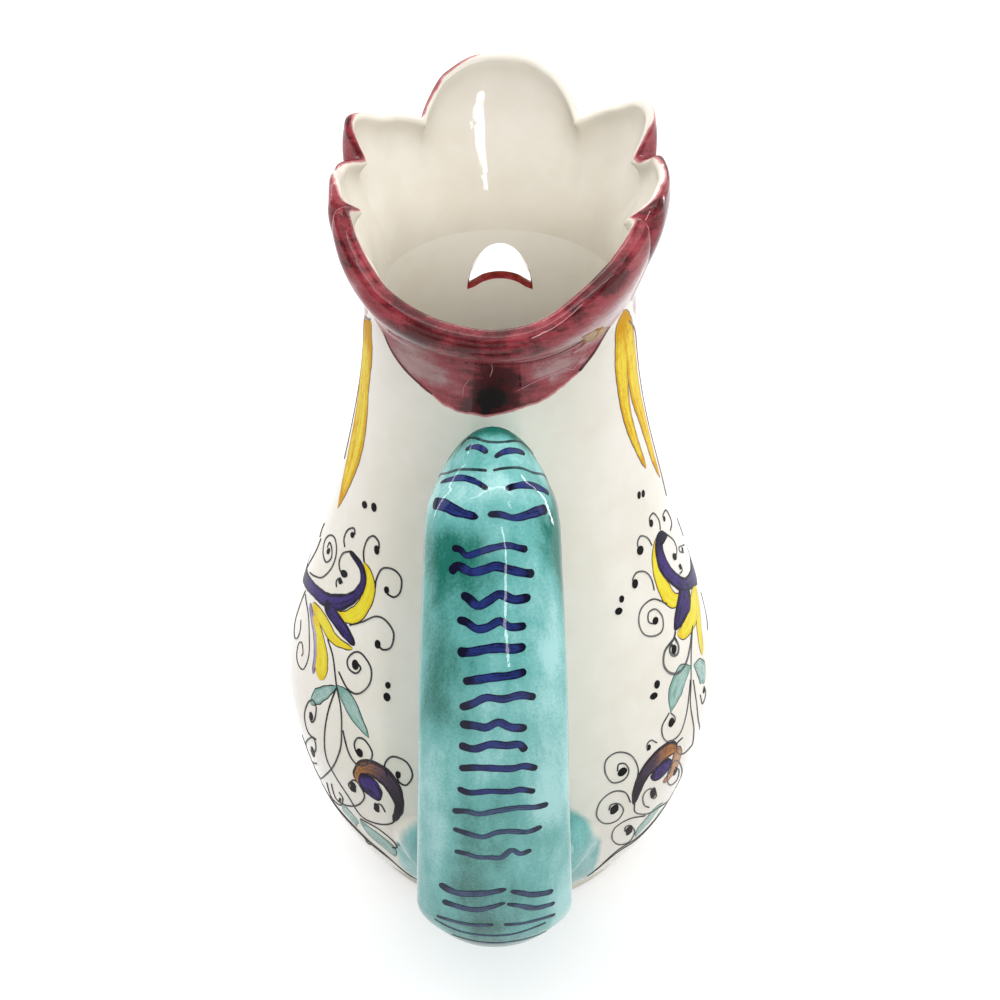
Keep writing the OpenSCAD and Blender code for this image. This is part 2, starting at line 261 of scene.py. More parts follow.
HIP_PULL = 0.66 * (BELLY_R - FOOT_R)
HIP = np.array([
    [FOOT_R, FOOT_H],
    [FOOT_R + HIP_PULL * np.cos(FLARE), FOOT_H + HIP_PULL * np.sin(FLARE)],
    [BELLY_R, BELLY_Z - 0.227 * (BELLY_Z - FOOT_H)],
    [BELLY_R, BELLY_Z]])
RISE = NECK_Z - COLLAR_H - BELLY_Z
SHOULDER = np.array([
    [BELLY_R, BELLY_Z], [BELLY_R, BELLY_Z + 0.223 * RISE],
    [NECK_R, NECK_Z - COLLAR_H - 0.395 * RISE], [NECK_R, NECK_Z - COLLAR_H]])


def wall_line(inset):
    """Radius and height along the wall, foot to neck, moved inwards by inset along its own normal."""
    t = np.linspace(0, 1, 600)
    parts = []
    for pulls in (HIP, SHOULDER):
        way = heading(pulls, t)
        parts.append(bezier(pulls, t) + inset * np.stack([-way[:, 1], way[:, 0]], axis=1))
    return np.vstack([parts[0], parts[1][1:], [[NECK_R - inset, NECK_Z]]])


OUTER = wall_line(0.0)
INNER = wall_line(WALL)


def wall_r(z):
    """Outer radius of the body at a height."""
    return np.interp(z, OUTER[:, 1], OUTER[:, 0])


def wall_y(x, z, proud):
    """Distance from the axis plane of a point at x and z that stands proud of the wall."""
    return np.sqrt((wall_r(z) + proud) ** 2 - x * x)


# The body's grid: its columns, and a row's height beside the pouring hole. There a block of cells is
# left out, and the points of a zone move. Both are given as half their rows or columns
COLS = 288
ROW = 0.78
BLOCK = 8
ZONE = 2 * BLOCK
# How far past the pouring hole's outline its edge is outside and inside, and its roundness between
EDGE_OUTSIDE = 0.9
EDGE_INSIDE = 0.3
EDGE_ROUND = 0.7
# Radii of the rings on the underside and on the floor, and of the round corner between wall and floor
UNDER_RINGS = (6, 20, 34, 46)
FLOOR_RINGS = (36, 20, 6)
FILLET = 9.0
# Distances of the wall's rows below the zone, outside and inside
OUTSIDE_STEP = 1.35
INSIDE_STEP = 3.0
# The sill's paint: how far over the sill's ends it has faded out, and how much the inner edge has of it
SILL_PAINT = 6.5
INNER_EDGE_PAINT = 0.72


def hole_reach(angle):
    """Distance from the pouring hole's middle to its edge in a direction: an arch that is half an
    ellipse, over a sill that is a parabola."""
    a = np.linspace(0, np.pi, 90)
    k = np.linspace(-1, 1, 60)[1:-1]
    x = np.concatenate([HOLE_W / 2 * np.cos(a), HOLE_W / 2 * k])
    z = np.concatenate([HOLE_Z + HOLE_H * np.sin(a), HOLE_Z + SILL_RISE * (1 - k * k)]) - HOLE_MID
    return np.interp(angle, np.arctan2(z, x), np.hypot(x, z), period=2 * np.pi)


def open_hole(points, first, step, line, edge):
    """Moves the wall's points round the pouring hole, in the zone's rows from first on. A block of
    cells is there to be left out, and its side goes to the hole's outline plus edge, while the far
    side of the zone stays. Between them each point goes along its own ray, in proportion."""
    i = np.arange(-ZONE, ZONE + 1)[:, None]
    j = i.T
    m = np.maximum(np.maximum(np.abs(i), np.abs(j)) / BLOCK, 1)
    angle = np.arctan2(i, j)
    radius = np.interp(HOLE_MID + ROW * i, line[:, 1], line[:, 0])
    far_x = radius * np.sin(np.radians(360 / COLS * j * 2 / m))
    far_z = ROW * i * 2 / m
    rim = hole_reach(angle) + edge
    x = mix(rim * np.cos(angle), far_x, m - 1)
    z = HOLE_MID + mix(rim * np.sin(angle), far_z, m - 1)
    y = -np.sqrt(np.interp(z, line[:, 1], line[:, 0]) ** 2 - x * x)
    points[first + (i + ZONE) * step, j % COLS] = np.stack([x, y, z], axis=-1)


def at_height(line, z):
    """Points of a line of radius and height at heights."""
    return np.stack([np.interp(z, line[:, 1], line[:, 0]), z], axis=1)


def by_length(line, low, high, step):
    """Points of a line of radius and height between two heights, evenly spaced along it."""
    first, last = at_height(line, np.array([low, high]))
    part = np.vstack([first, line[(line[:, 1] > low) & (line[:, 1] < high)], last])
    far = np.concatenate([[0], np.cumsum(np.linalg.norm(np.diff(part, axis=0), axis=1))])
    return at_length(part, far, np.linspace(0, far[-1], int(far[-1] / step) + 2))


def shell_profile():
    """The body's radius and height from the middle of the underside over the outside, the neck's edge
    and the inside to the middle of the floor, and the numbers of the first rows of the zone round the
    pouring hole, outside and inside."""
    band = HOLE_MID + ROW * np.arange(-ZONE, ZONE + 1)
    low = by_length(OUTER, FOOT_H, band[0], OUTSIDE_STEP)[:-1]
    inside = by_length(INNER, FLOOR_Z + FILLET, band[0], INSIDE_STEP)[::-1][1:]
    turn = np.radians(np.linspace(0, 90, 8))[1:]
    r, z = inside[-1]
    corner = np.stack([r - FILLET + FILLET * np.cos(turn), z - FILLET * np.sin(turn)], axis=1)
    profile = np.vstack([
        [[r, FOOT_H] for r in UNDER_RINGS], low, at_height(OUTER, band),
        [[NECK_R, NECK_Z], [NECK_R - WALL, NECK_Z]], at_height(INNER, band)[::-1], inside, corner,
        [[r, FLOOR_Z] for r in FLOOR_RINGS]])
    outer_first = len(UNDER_RINGS) + len(low)
    return profile, outer_first, outer_first + 2 * len(band) + 1


def in_block(quads, outer_middle, inner_middle):
    """Which of the body's quads are in the block left out round the zone's middle rows."""
    def near(number, middle):
        """Whether a row's or column's number is in the block round a middle."""
        return (number >= middle - BLOCK) & (number < middle + BLOCK)

    row = quads[:, 0] // COLS
    col = (quads[:, 0] + COLS // 2) % COLS - COLS // 2
    return near(col, 0) & (near(row, outer_middle) | near(row, inner_middle))


def block_rings(outer_middle, inner_middle):
    """Corner numbers round the block left out, outside and inside."""
    go = np.arange(-BLOCK, BLOCK)
    end = np.full(2 * BLOCK, BLOCK)
    i = np.concatenate([-end, go, end, -go])
    j = np.concatenate([go, end, -go, -end]) % COLS
    return (outer_middle + i) * COLS + j, (inner_middle - i) * COLS + j


def hole_strip(outer, inner):
    """Rings of points between the pouring hole's edges outside and inside, swelling into the hole."""
    w = np.linspace(0, 1, 9)[1:-1][:, None, None]
    strip = mix(outer, inner, w)
    inward = np.stack([-strip[..., 0], 0 * strip[..., 0], HOLE_MID - strip[..., 2]], axis=-1)
    inward /= np.linalg.norm(inward, axis=-1, keepdims=True)
    return strip + EDGE_ROUND * (1 - np.abs(2 * w - 1) ** 3) * inward


def body_shell(material):
    """The thrown body: its profile turned round the axis. Round the pouring hole the points are moved,
    and its cut edge is a rounded strip from wall to wall, painted on the sill."""
    profile, outer_first, inner_first = shell_profile()
    middles = (outer_first + ZONE, inner_first - ZONE)
    rows = len(profile)
    turned = np.radians(360 / COLS * np.arange(COLS))[None, :]
    grid = round_axis(profile[:, :1], turned, profile[:, 1:])
    open_hole(grid, outer_first, 1, OUTER, EDGE_OUTSIDE)
    open_hole(grid, inner_first, -1, INNER, EDGE_INSIDE)
    grid = grid.reshape(-1, 3)
    quads = grid_quads(rows, COLS, wrap_cols=True)
    quads = quads[~in_block(quads, *middles)]
    outer_ring, inner_ring = block_rings(*middles)
    strip = hole_strip(grid[outer_ring], grid[inner_ring])
    n = len(grid)
    between = n + np.arange(strip.shape[0] * strip.shape[1]).reshape(strip.shape[:2])
    collar = rolled_quads(np.vstack([outer_ring, between, inner_ring]))
    points = np.vstack([grid, strip.reshape(-1, 3), [[0, 0, FOOT_H], [0, 0, FLOOR_Z]]])
    last = len(points)
    tris = caps(np.arange(COLS), (rows - 1) * COLS + np.arange(COLS), last - 2)
    cut = np.zeros(last)
    cut[n:last - 2] = 1
    cut[outer_ring] = 1
    cut[inner_ring] = INNER_EDGE_PAINT
    cut = cut * np.clip((HOLE_Z + SILL_PAINT - points[:, 2]) / 2, 0, 1)
    over = points[:, 2] - crimson_edge(points)
    inside = np.hypot(points[:, 0], points[:, 1]) < wall_r(points[:, 2]) - WALL / 2
    values = {"cut_edge": cut, "inner": inside.astype(float),
              "crimson_over": np.where(inside, UNPAINTED, over), "darkening": darkening(points),
              "wash_over": np.where(inside | (points[:, 1] < 0), UNPAINTED, wash_over(points))}
    neck_edge = profile[quads[:, 0] // COLS, 1] >= NECK_Z
    flat = np.concatenate([neck_edge, np.zeros(len(collar) + len(tris), bool)])
    piece("hen_body", points, np.vstack([quads, collar]), material, ["body_shell"],
          tris, values, flat, np.concatenate([outer_ring, inner_ring]))


# Lower edge of the crimson on the neck: angle from the beak and height
CRIMSON_EDGE = np.array([
    [0, 186], [14, 185], [24, 181], [34, 176], [46, 171], [60, 169], [75, 173], [85, 180], [91.5, 190],
    [95.5, 198.5], [104, 205], [109, 210], [112, 214], [115, 213], [118, 211], [125.5, 208],
    [130, 204.8], [138, 201.4], [146, 198.8], [152, 197], [157, 194.6], [163, 193.6], [168, 193.6],
    [174, 193.2], [180, 194], [188, 195.2], [196, 197], [204.5, 199.8], [214, 203.2],
    [223.5, 208.8], [228, 214], [240, 218], [246, 216], [250.5, 212.5], [258, 206], [265, 200],
    [268.5, 191.5], [275, 180], [285, 173], [300, 169], [314, 171], [326, 176], [336, 181],
    [346, 185], [360, 186]])


def crimson_edge(points):
    """Height of the crimson's lower edge on the neck at each point's angle from the beak."""
    return np.interp(angle_of(points), CRIMSON_EDGE[:, 0], CRIMSON_EDGE[:, 1])


# Where the crimson pools or thins: angle from the beak, height, spread of each, and how much
CRIMSON_POOLS = [
    (177, 199.4, 7, 4.2, 1.6), (174, 194.5, 1.5, 2.8, 1.2), (182, 205.5, 8, 2.6, 0.45),
    (168, 196, 3, 1.6, 0.3), (150, 204, 13, 4.2, -0.8), (136, 207, 8, 4.5, -0.6),
    (209, 207, 12, 4, -0.7), (196, 207, 8, 2.2, -0.35), (165, 200, 5, 2.2, -0.25),
    (193, 198.5, 5, 1.6, -0.2), (146, 212, 14, 3, -0.35), (132, 219, 9, 6, -0.55),
    (124, 226, 6, 6, -0.5), (172, 214.5, 8, 1.5, -0.4), (190, 214.5, 8, 2, -0.5),
    (204, 218, 10, 4.4, -0.85), (222, 220, 9, 7, -0.85), (232, 230, 6, 9, -0.5),
    (180, 220, 40, 2.6, 0.25), (140, 228, 14, 2.4, 0.2), (218, 233, 14, 2.6, 0.25),
    (215, 203.5, 5, 1.2, 0.3), (262, 232, 30, 16, 0.14)]


def darkening(points):
    """How thick the crimson lies at points: the sum of bell-shaped pools round the table's places."""
    angle = angle_of(points)
    total = np.zeros(len(points))
    for place, height, wide, tall, much in CRIMSON_POOLS:
        total += much * np.exp(-((angle - place) / wide) ** 2 - ((points[:, 2] - height) / tall) ** 2)
    return total


# The oval of teal wash round the handle's foot: its middle's x and z, half its breadth and half its
# height, and how far in from its edge its middle counts as
WASH_X = 0.3
WASH_Z = 33.5
WASH_W = 33.0
WASH_H = 44.0
WASH_DEEP = 32.2


def wash_over(points):
    """How far a point is inside the oval of teal wash, in millimetres."""
    return WASH_DEEP * (1 - np.hypot((points[:, 0] - WASH_X) / WASH_W, (points[:, 2] - WASH_Z) / WASH_H))


def foot_ring(material):
    """The turned foot: a rectangle of radius and height, rounded at its two lower corners, turned round
    the axis."""
    corner = 1.6
    cols = 180
    a = np.radians(np.linspace(0, 90, 6))
    x0 = FOOT_R - FOOT_RIM
    profile = np.vstack([
        [FOOT_R, FOOT_H],
        [FOOT_R - corner, corner] + corner * np.stack([np.cos(a), -np.sin(a)], axis=1),
        [x0 + corner, corner] + corner * np.stack([-np.sin(a), -np.cos(a)], axis=1),
        [x0, FOOT_H]])
    turned = np.radians(360 / cols * np.arange(cols))[:, None]
    points = round_axis(profile[:, 0], turned, profile[:, 1])
    quads = grid_quads(cols, len(profile), wrap_rows=True, wrap_cols=True)
    piece("turned_foot", points, quads, material, ["foot_ring"])


# Comb


def rim_values(angle):
    """Shares of the comb's height and flare at angles from the beak, on a smooth closed line through
    the rim's rows, and the shares that the notches take off them. A notch fades with the square of
    what is left of its span."""
    at = RIM[:, 0]
    n = len(at)
    i = np.searchsorted(at, angle, side="right") - 1
    nxt = np.where(i + 1 < n, at[(i + 1) % n], 360)
    k = ((angle - at[i]) / (nxt - at[i]))[:, None]
    v = RIM[:, 1:]
    value = cubic(v[(i - 1) % n], v[i], v[(i + 1) % n], v[(i + 2) % n], k)
    taken = np.zeros_like(value)
    for place, drop, draw, before, after in NOTCHES:
        off = (angle - place + 180) % 360 - 180
        fade = np.maximum(0, 1 - np.abs(off) / np.where(off >= 0, after, before)) ** 2
        taken = taken + fade[:, None] * [drop, draw]
    return value, taken


# Share of each half of the comb's section that its lip takes, and the angle up to which its flank
# follows a sine
LIP_SHARE = 0.16
SWELL = np.radians(108)
# The lip's thickness in front and behind
LIP_FRONT = 3.3
LIP_BACK = 5.8
# How much later the flank swells at the sides than in front and behind, and inside than outside
SIDE_HUG = 0.7
INNER_HUG = 0.8


def lip_thickness(angle):
    """The lip's thickness: thin round the front lobes, and from the sides backwards it grows within
    40 degrees to a thick roll."""
    back = np.clip((90 - np.abs((angle % 360) - 180)) / 40, 0, 1)
    return mix(LIP_FRONT, LIP_BACK, back * back * (3 - 2 * back))


def flank_out(angle, flare, drawn, rise, more=0.0):
    """How far out from the neck the comb's flank is at a share of its rise: the sine of SWELL times
    the rise, raised to a power that is greater at the sides, times the flare's share. A notch draws it
    in with the fifth power of the rise."""
    hug = 1 + SIDE_HUG * np.sin(np.radians(angle)) ** 2 + more
    return COMB_FLARE * (flare * np.sin(SWELL * rise ** hug) - drawn * rise ** 5)


def comb_place(angle, over):
    """Point of the comb's surface. over runs along its section: -1 at the foot of its outside, 0 at
    the lip's crest and 1 at the foot of its inside, whose flank swells out later. The lip is half a
    circle across the wall's end."""
    value, taken = rim_values(angle % 360)
    angle = angle[:, None]
    rim = (angle, value[:, 1:], taken[:, 1:])
    lip = lip_thickness(angle)
    top = COMB_H * (value[:, :1] - taken[:, :1]) - lip / 2
    side = np.abs(over)[None, :]
    outer = over[None, :] < 0
    s = np.minimum((1 - side) / (1 - LIP_SHARE), 1)
    bend = np.radians(90) * np.clip(1 - side / LIP_SHARE, 0, 1) * np.ones_like(top)
    flank = NECK_R + flank_out(*rim, s, np.where(outer, 0, INNER_HUG))
    thick = mix(WALL, lip, s)
    at_lip = NECK_R + flank_out(*rim, 1.0) - lip / 2
    on_lip = side < LIP_SHARE
    sign = np.where(outer, 1, -1)
    off_lip = np.where(outer, flank, flank - thick)
    radius = np.where(on_lip, at_lip + sign * lip / 2 * np.cos(bend), off_lip)
    z = NECK_Z + top * s + np.where(on_lip, lip / 2 * np.sin(bend), 0)
    return round_axis(radius, np.radians(angle), z)


# How far past the lip's crest the crimson goes: angle from the beak, and millimetres inwards
PAINT_REACH = np.array([
    [0, -1.5], [8, 0.6], [20, 1.2], [30, 0.6], [36, -2.0], [46, -0.4], [54, 0.0], [60, 1.0],
    [66, 2.0], [74, 1.0], [84, -1.0], [98, 1.0], [108, 3.0], [116, 3.2], [130, 3.0], [180, 3.2],
    [225, 3.0], [240, 2.2], [252, 0.5], [268, 0.0], [284, 1.5], [290, 2.0], [297, -1.0],
    [306, -0.8], [318, -2.5], [330, -0.8], [345, -0.6], [360, -1.5]])


def comb_crown(material):
    """The comb: closed sections round the rim, each up the outside, over the lip and down the inside.
    reach_in keeps how far a point is past the lip's crest, in millimetres, outside counted negative."""
    angle = np.arange(0, 360, 0.75)
    over = np.concatenate([np.linspace(-1, -LIP_SHARE, 23)[:-1], np.linspace(-LIP_SHARE, LIP_SHARE, 17),
                           np.linspace(LIP_SHARE, 1, 23)[1:]])
    points = comb_place(angle, over)
    step = np.linalg.norm(np.diff(points, axis=1), axis=2)
    far = np.concatenate([np.zeros((len(angle), 1)), np.cumsum(step, axis=1)], axis=1)
    crest = np.argmin(np.abs(over))
    reach_in = far - far[:, crest:crest + 1]
    quads = grid_quads(len(angle), len(over), wrap_rows=True, wrap_cols=True)
    bottom = (quads[:, 0] % len(over)) == len(over) - 1
    paint_reach = np.interp(angle, PAINT_REACH[:, 0], PAINT_REACH[:, 1])[:, None] + 0 * reach_in
    flat_points = points.reshape(-1, 3)
    values = {"reach_in": reach_in, "paint_reach": paint_reach, "darkening": darkening(flat_points),
              "crimson_over": flat_points[:, 2] - crimson_edge(flat_points)}
    piece("comb", points, quads, material, ["comb_crown"], values=values, flat=bottom)


# Beak and wattles

# How far the hood keeps clear of the pouring hole's arch
HOOD_ROOM = 0.25


def closed_sheet(front, back):
    """Points and quads of the solid between two grids that lie over each other."""
    rows, cols = front.shape[:2]
    n = rows * cols
    top = grid_quads(rows, cols)
    number = np.arange(n).reshape(rows, cols)
    ring = np.concatenate([number[0, :-1], number[:-1, -1], number[-1, :0:-1], number[:0:-1, 0]])
    on = np.roll(ring, -1)
    side = np.stack([ring, ring + n, on + n, on], axis=-1)
    quads = np.vstack([top, n + top[:, ::-1], side])
    return np.concatenate([front.reshape(-1, 3), back.reshape(-1, 3)]), quads


def upper_beak(material):
    """The hood: across it an arch of cosine and sine, along it the crown's cubic curve down to the
    hooked tip, with its width shrinking as a power of what is left of its length. The section is a
    closed loop, out over the back and home along the underside, with a flat edge between."""
    crown_z = NECK_Z - HOLE_DROP + BEAK_T + HOOD_ROOM
    edge_z = crown_z - HOLE_H
    hood_w = HOLE_W / 2 + BEAK_T + HOOD_ROOM
    tip = np.array([NECK_R + BEAK_REACH, crown_z - BEAK_FALL])
    crown = np.array([[NECK_R, crown_z], [NECK_R + BEAK_REACH / 2, crown_z + BEAK_T / 2],
                      [NECK_R + BEAK_REACH, crown_z - BEAK_FALL / 3], tip])
    u = 1 - (1 - np.linspace(0, 1, 44)) ** 1.6
    line = bezier(crown, u)
    half_turn = np.linspace(-1, 1, 41)
    side = np.concatenate([half_turn, half_turn[::-1]])
    inner = np.repeat([0, 1], len(half_turn))
    b = np.radians(90) * side
    uu = u[:, None]
    inset = inner[None, :] * mix(BEAK_T, BEAK_T / 3, uu)
    edge = mix(edge_z, tip[1] - BEAK_T / 2, uu)
    half = (hood_w - BEAK_T / 2) * (1 - uu) ** 0.7 + BEAK_T / 2 - inset
    x = half * np.sin(b)
    z = edge + (line[:, 1:] - inset - edge) * np.maximum(np.cos(b), 0) ** 0.8
    y = mix(wall_y(x, z, -SUNK), line[:, :1] - inset * uu, uu)
    points = np.stack([x, -y, z], axis=-1)
    rows, cols = points.shape[:2]
    quads = grid_quads(rows, cols, wrap_cols=True)
    k = np.arange(cols // 2 - 1)
    root = np.stack([cols - 1 - k, cols - 2 - k, k + 1, k], axis=-1)
    tris = fan((rows - 1) * cols + np.arange(cols), rows * cols)
    values = {"along": np.append(np.repeat(u, cols), 1)}
    piece("beak_upper", np.vstack([points.reshape(-1, 3), points[-1].mean(axis=0)]),
          np.vstack([quads, root]), material, ["upper_beak"], tris, values)


def lower_beak(material):
    """The trough: across it a parabola, along it a fall in proportion, narrowing with the square of
    the way along, between an upper and a lower face."""
    jaw_w = HOLE_W / 2 + BEAK_T
    jaw_z = NECK_Z - HOLE_DROP - HOLE_H - BEAK_T
    u = np.linspace(0, 1, 26)[:, None]
    k = np.linspace(-1, 1, 33)[None, :]

    def face(drop):
        """The trough's surface, lowered by drop."""
        x = k * mix(jaw_w, BEAK_T, u * u)
        z = jaw_z - JAW_FALL * u - drop + jaw_w / 2 * mix(1, 0.4, u) * (k * k - 1)
        y = mix(wall_y(x, z, -SUNK), NECK_R + JAW_REACH * (1 - 0.25 * k * k), u)
        return np.stack([x, -y, z], axis=-1)

    round_off = 1 - 0.8 * np.abs(k) ** 6
    end_off = 1 - 0.6 * u ** 8
    thick = mix(BEAK_T, BEAK_T * 0.7, u) * round_off * end_off
    points, quads = closed_sheet(face(BEAK_T * 0.4 * (1 - round_off * end_off)), face(thick))
    values = {"along": np.concatenate([(u + 0 * k).ravel()] * 2)}
    piece("beak_lower", points, quads, material, ["lower_beak"], values=values)


def wattle(side, name, node, material):
    """A drop of clay on the wall: its width and fullness follow the sine of the way down raised to a
    power, and its face falls off across with the power 2.4."""
    start = NECK_Z - HOLE_DROP - HOLE_H - BEAK_T - WATTLE_W
    u = np.linspace(0, 1, 40)[:, None]
    k = np.linspace(-1, 1, 31)[None, :]
    full = np.sin(np.pi * mix(0.03, 0.985, u) ** 1.4)
    x = side * WATTLE_GAP / 2 + k * WATTLE_W / 2 * full ** 0.6
    z = start - WATTLE_L * u + 0 * k
    proud = 0.2 + (WATTLE_T - 0.2) * full * (1 - np.abs(k) ** 2.4)
    front = np.stack([x, -wall_y(x, z, proud), z], axis=-1)
    back = np.stack([x, -wall_y(x, z, -SUNK), z], axis=-1)
    points, quads = closed_sheet(front, back)
    piece(name, points, quads, material, [node])


# Handle

# What pad_proud leaves even at the pad's edge
PAD_LIFT = 0.25


def pad_proud(x, z):
    """How far the clay pad stands proud of the belly: a plateau that falls away to its oval edge."""
    d = (2 * (x - GRIP_X) / PAD_W) ** 2 + (2 * (z - ROOT_Z - PAD_RISE) / PAD_H) ** 2
    left = np.clip((1 - d) / 0.38, 0, 1)
    return PAD_T * (3 * left ** 2 - 2 * left ** 3) + PAD_LIFT


def handle_pad(material):
    """The pad: an oval of rings round its middle. Its face lies 0.2 mm under pad_proud, its rim 0.3 mm
    inside the belly, and its back deeper."""
    middle = ROOT_Z + PAD_RISE
    r = np.sin(np.radians(np.linspace(0, 90, 30)))[1:, None]
    a = np.radians(np.arange(0, 360, 4))[None, :]
    x = GRIP_X + PAD_W / 2 * r * np.cos(a)
    z = middle + PAD_H / 2 * r * np.sin(a)
    edge = np.where(r > 0.999, -0.3, pad_proud(x, z) - 0.2)
    face = np.stack([x, wall_y(x, z, edge), z], axis=-1)
    back = np.stack([x, wall_y(x, z, -PAD_SUNK), z], axis=-1)
    ends = [[GRIP_X, wall_y(GRIP_X, middle, proud), middle] for proud in (PAD_T, -PAD_SUNK)]
    points = np.vstack([face.reshape(-1, 3), back.reshape(-1, 3), ends])
    rows, cols = x.shape
    n = rows * cols
    top = grid_quads(rows, cols, wrap_cols=True)
    rim = (rows - 1) * cols + np.arange(cols)
    side = rolled_quads(np.stack([rim, rim + n]))
    tris = caps(np.arange(cols), n + np.arange(cols), 2 * n)
    piece("tail_pad", points, np.vstack([top, n + top[:, ::-1], side]), material,
          ["handle_pad"], tris, {"wash_over": wash_over(points)})


def back_line():
    """The handle's back as points of y and z, from the neck over the crest and the grip to the belly."""
    belly = wall_r(ROOT_Z)
    upper = [[mix(NECK_R, GRIP_Y, o), mix(ROOT_Z, CREST_Z, h)] for o, h in UPPER_LINE]
    lower = [[mix(belly, GRIP_Y, o), mix(ROOT_Z, CREST_Z, h)] for o, h in LOWER_LINE]
    return np.array([[wall_r(TOP_Z), TOP_Z]] + upper + lower + [[belly + PAD_LIFT + PAD_T, ROOT_Z]])


BACK = back_line()
# How the strap's back leans to either side along its length: share of the length, and the slope
LEAN = np.array([
    [0, 0], [0.22, 0.02], [0.245, 0.1], [0.265, 0], [0.285, 0.03], [0.309, 0.12], [0.335, 0.06],
    [0.365, -0.02], [0.4, 0.03], [0.5, -0.03], [0.6, 0.02], [0.7, 0], [1, 0]])
# Power of the strap's section: 2 would make it an oval
BLOCKY = 2.7
# How much the strap spreads at the neck and at the pad, and how much narrower it is at the neck
NECK_FLARE = 0.06
PAD_FLARE = 0.14
NECK_PINCH = 0.24
# How far aside the strap's upper end stands from its lower one
ASIDE = 0.9


def strap_frame(t):
    """At shares t of the handle's length: the back's middle point, the direction inwards, half the
    width, the thickness and the crown."""
    at = np.clip(t, 0, 1) * (len(BACK) - 1)
    p = smooth(BACK, at)
    way = smooth(BACK, np.minimum(at + 0.05, len(BACK) - 1)) - smooth(BACK, np.maximum(at - 0.05, 0))
    way /= np.linalg.norm(way, axis=1, keepdims=True)
    inward = np.stack([way[:, 1], -way[:, 0]], axis=1)
    share = [np.interp(t, SECTION[:, 0], SECTION[:, k]) for k in (1, 2, 3)]
    at_neck = np.clip(1 - t / 0.05, 0, 1) ** 2
    at_pad = np.clip((t - 0.955) / 0.045, 0, 1) ** 2
    flare = NECK_FLARE * at_neck + PAD_FLARE * at_pad
    pinch = 1 - NECK_PINCH * np.clip(1 - t / 0.11, 0, 1)
    half = mix(CREST_W, GRIP_W, share[0]) / 2 * (1 + flare) * pinch
    thick = GRIP_T * share[1] * (1 + flare)
    return p, inward, half, thick, share[2]


def strap_place(t, w, lower, lift=0.0):
    """Point of the handle at a share t of its length and a share w of its half width, on its back or,
    where lower is 1, on its underside, and lifted outwards. The section is a rounded block whose
    sides droop with the square of w, so that the back is crowned. The back also leans a little, by
    the slope of LEAN times the distance from its middle, fading towards its sides."""
    shape = t.shape
    t = t.ravel()
    w = np.clip(w, -1, 1).ravel()
    under = lower.ravel() > 0.5
    p, inward, half, thick, crown = strap_frame(t)
    bulge = (1 - np.abs(w) ** BLOCKY) ** (1 / BLOCKY)
    droop = np.maximum(crown - 0.2, 0.1) * w * w
    depth = thick * (droop + 0.5 * (1 - np.where(under, -bulge, bulge))) - lift
    slope = np.interp(t, LEAN[:, 0], LEAN[:, 1])
    depth = depth + slope * half * w * (1 - w * w) ** 2 * ~under
    yz = p + depth[:, None] * inward
    points = np.stack([GRIP_X + ASIDE * (1 - t) + half * w, yz[:, 0], yz[:, 1]], axis=-1)
    return points.reshape(shape + (3,))


# Where the teal pools or thins, and painted shade on the strap's right side wall near its top: percent
# of the length, percent of the half width, spreads, and how much
TEAL_POOLS_AND_SIDE_SHADE = [
    (16.6, 0, 1.8, 120, 0.9), (19.5, 30, 3, 60, 0.2), (31, 80, 5, 30, 0.3), (36, 84, 6, 24, 0.3),
    (41, 78, 3, 20, 0.2), (31.8, 32, 3, 40, 0.5), (35.5, 24, 3.6, 40, 0.4), (30, -84, 4, 18, 0.5),
    # The entries at -106 and -104 percent of the half width are painted shade on the strap's right side
    # wall
    (23, -106, 9, 12, 2.4), (29.8, -104, 6, 10, 1.2), (35, -20, 6, 60, 0.15), (41, 37, 3, 30, 0.3),
    (41.5, 74, 4, 20, 0.25), (59, 31, 5, 38, 0.4), (54, 36, 4, 20, 0.25), (66, 10, 2.5, 50, 0.35),
    (74, -10, 4, 80, 0.6), (25.4, -12, 2, 80, -0.25), (22, 0, 3, 90, 0.15), (38, -78, 6, 18, -0.2),
    (48.4, -72, 5, 22, -0.3), (53, 70, 7, 18, -0.2), (47, 10, 6, 70, 0.12), (39, 10, 7, 34, -0.15),
    (20, 0, 2, 60, -0.15), (64, -10, 8, 90, 0.15), (66, -85, 6, 16, -0.5)]
# The easing inside the strap's bends: how many sections to either side count, and the bell's spread
EASE_REACH = 45
EASE_SPREAD = 13.0
# Shares of the strap's length before and after which its sides and its underside are eased, and the
# share over which the easing fades in
EASE_SIDES = (0.155, 0.73, 0.04)
EASE_UNDER = (0.36, 0.62, 0.06)
# How far under the back the easing begins, and over how many more millimetres it grows to all
EASE_DEEP = 4.0
EASE_FADE = 6.0


def eased(points, t, turn):
    """The strap's sections with the folds inside its two bends smoothed away: away from the back, each
    line along the strap moves to its bell-weighted mean near the neck and near the pad. The
    underside is eased further along than the sides, which carry paint."""
    def ends(before, after, fade):
        """1 near the neck and near the pad, and 0 between."""
        return np.clip((before - t) / fade, 0, 1) + np.clip((t - after) / fade, 0, 1)

    reach = EASE_REACH
    bell = np.exp(-(np.arange(-reach, reach + 1) / EASE_SPREAD) ** 2 / 2)
    bell /= bell.sum()
    padded = np.concatenate([2 * points[:1] - points[reach:0:-1], points,
                             2 * points[-1:] - points[-2:-reach - 2:-1]])
    soft = sum(weight * padded[k:k + len(points)] for k, weight in enumerate(bell))
    p, inward = strap_frame(t)[:2]
    depth = np.einsum("rck,rk->rc", points[..., 1:] - p[:, None], inward)
    sides = ends(*EASE_SIDES)[:, None]
    under = ends(*EASE_UNDER)[:, None]
    share = mix(sides, under, np.clip(-2 * np.sin(turn), 0, 1))
    share = share * np.clip((depth - EASE_DEEP) / EASE_FADE, 0, 1)
    return points + share[..., None] * (soft - points) * [0, 1, 1]


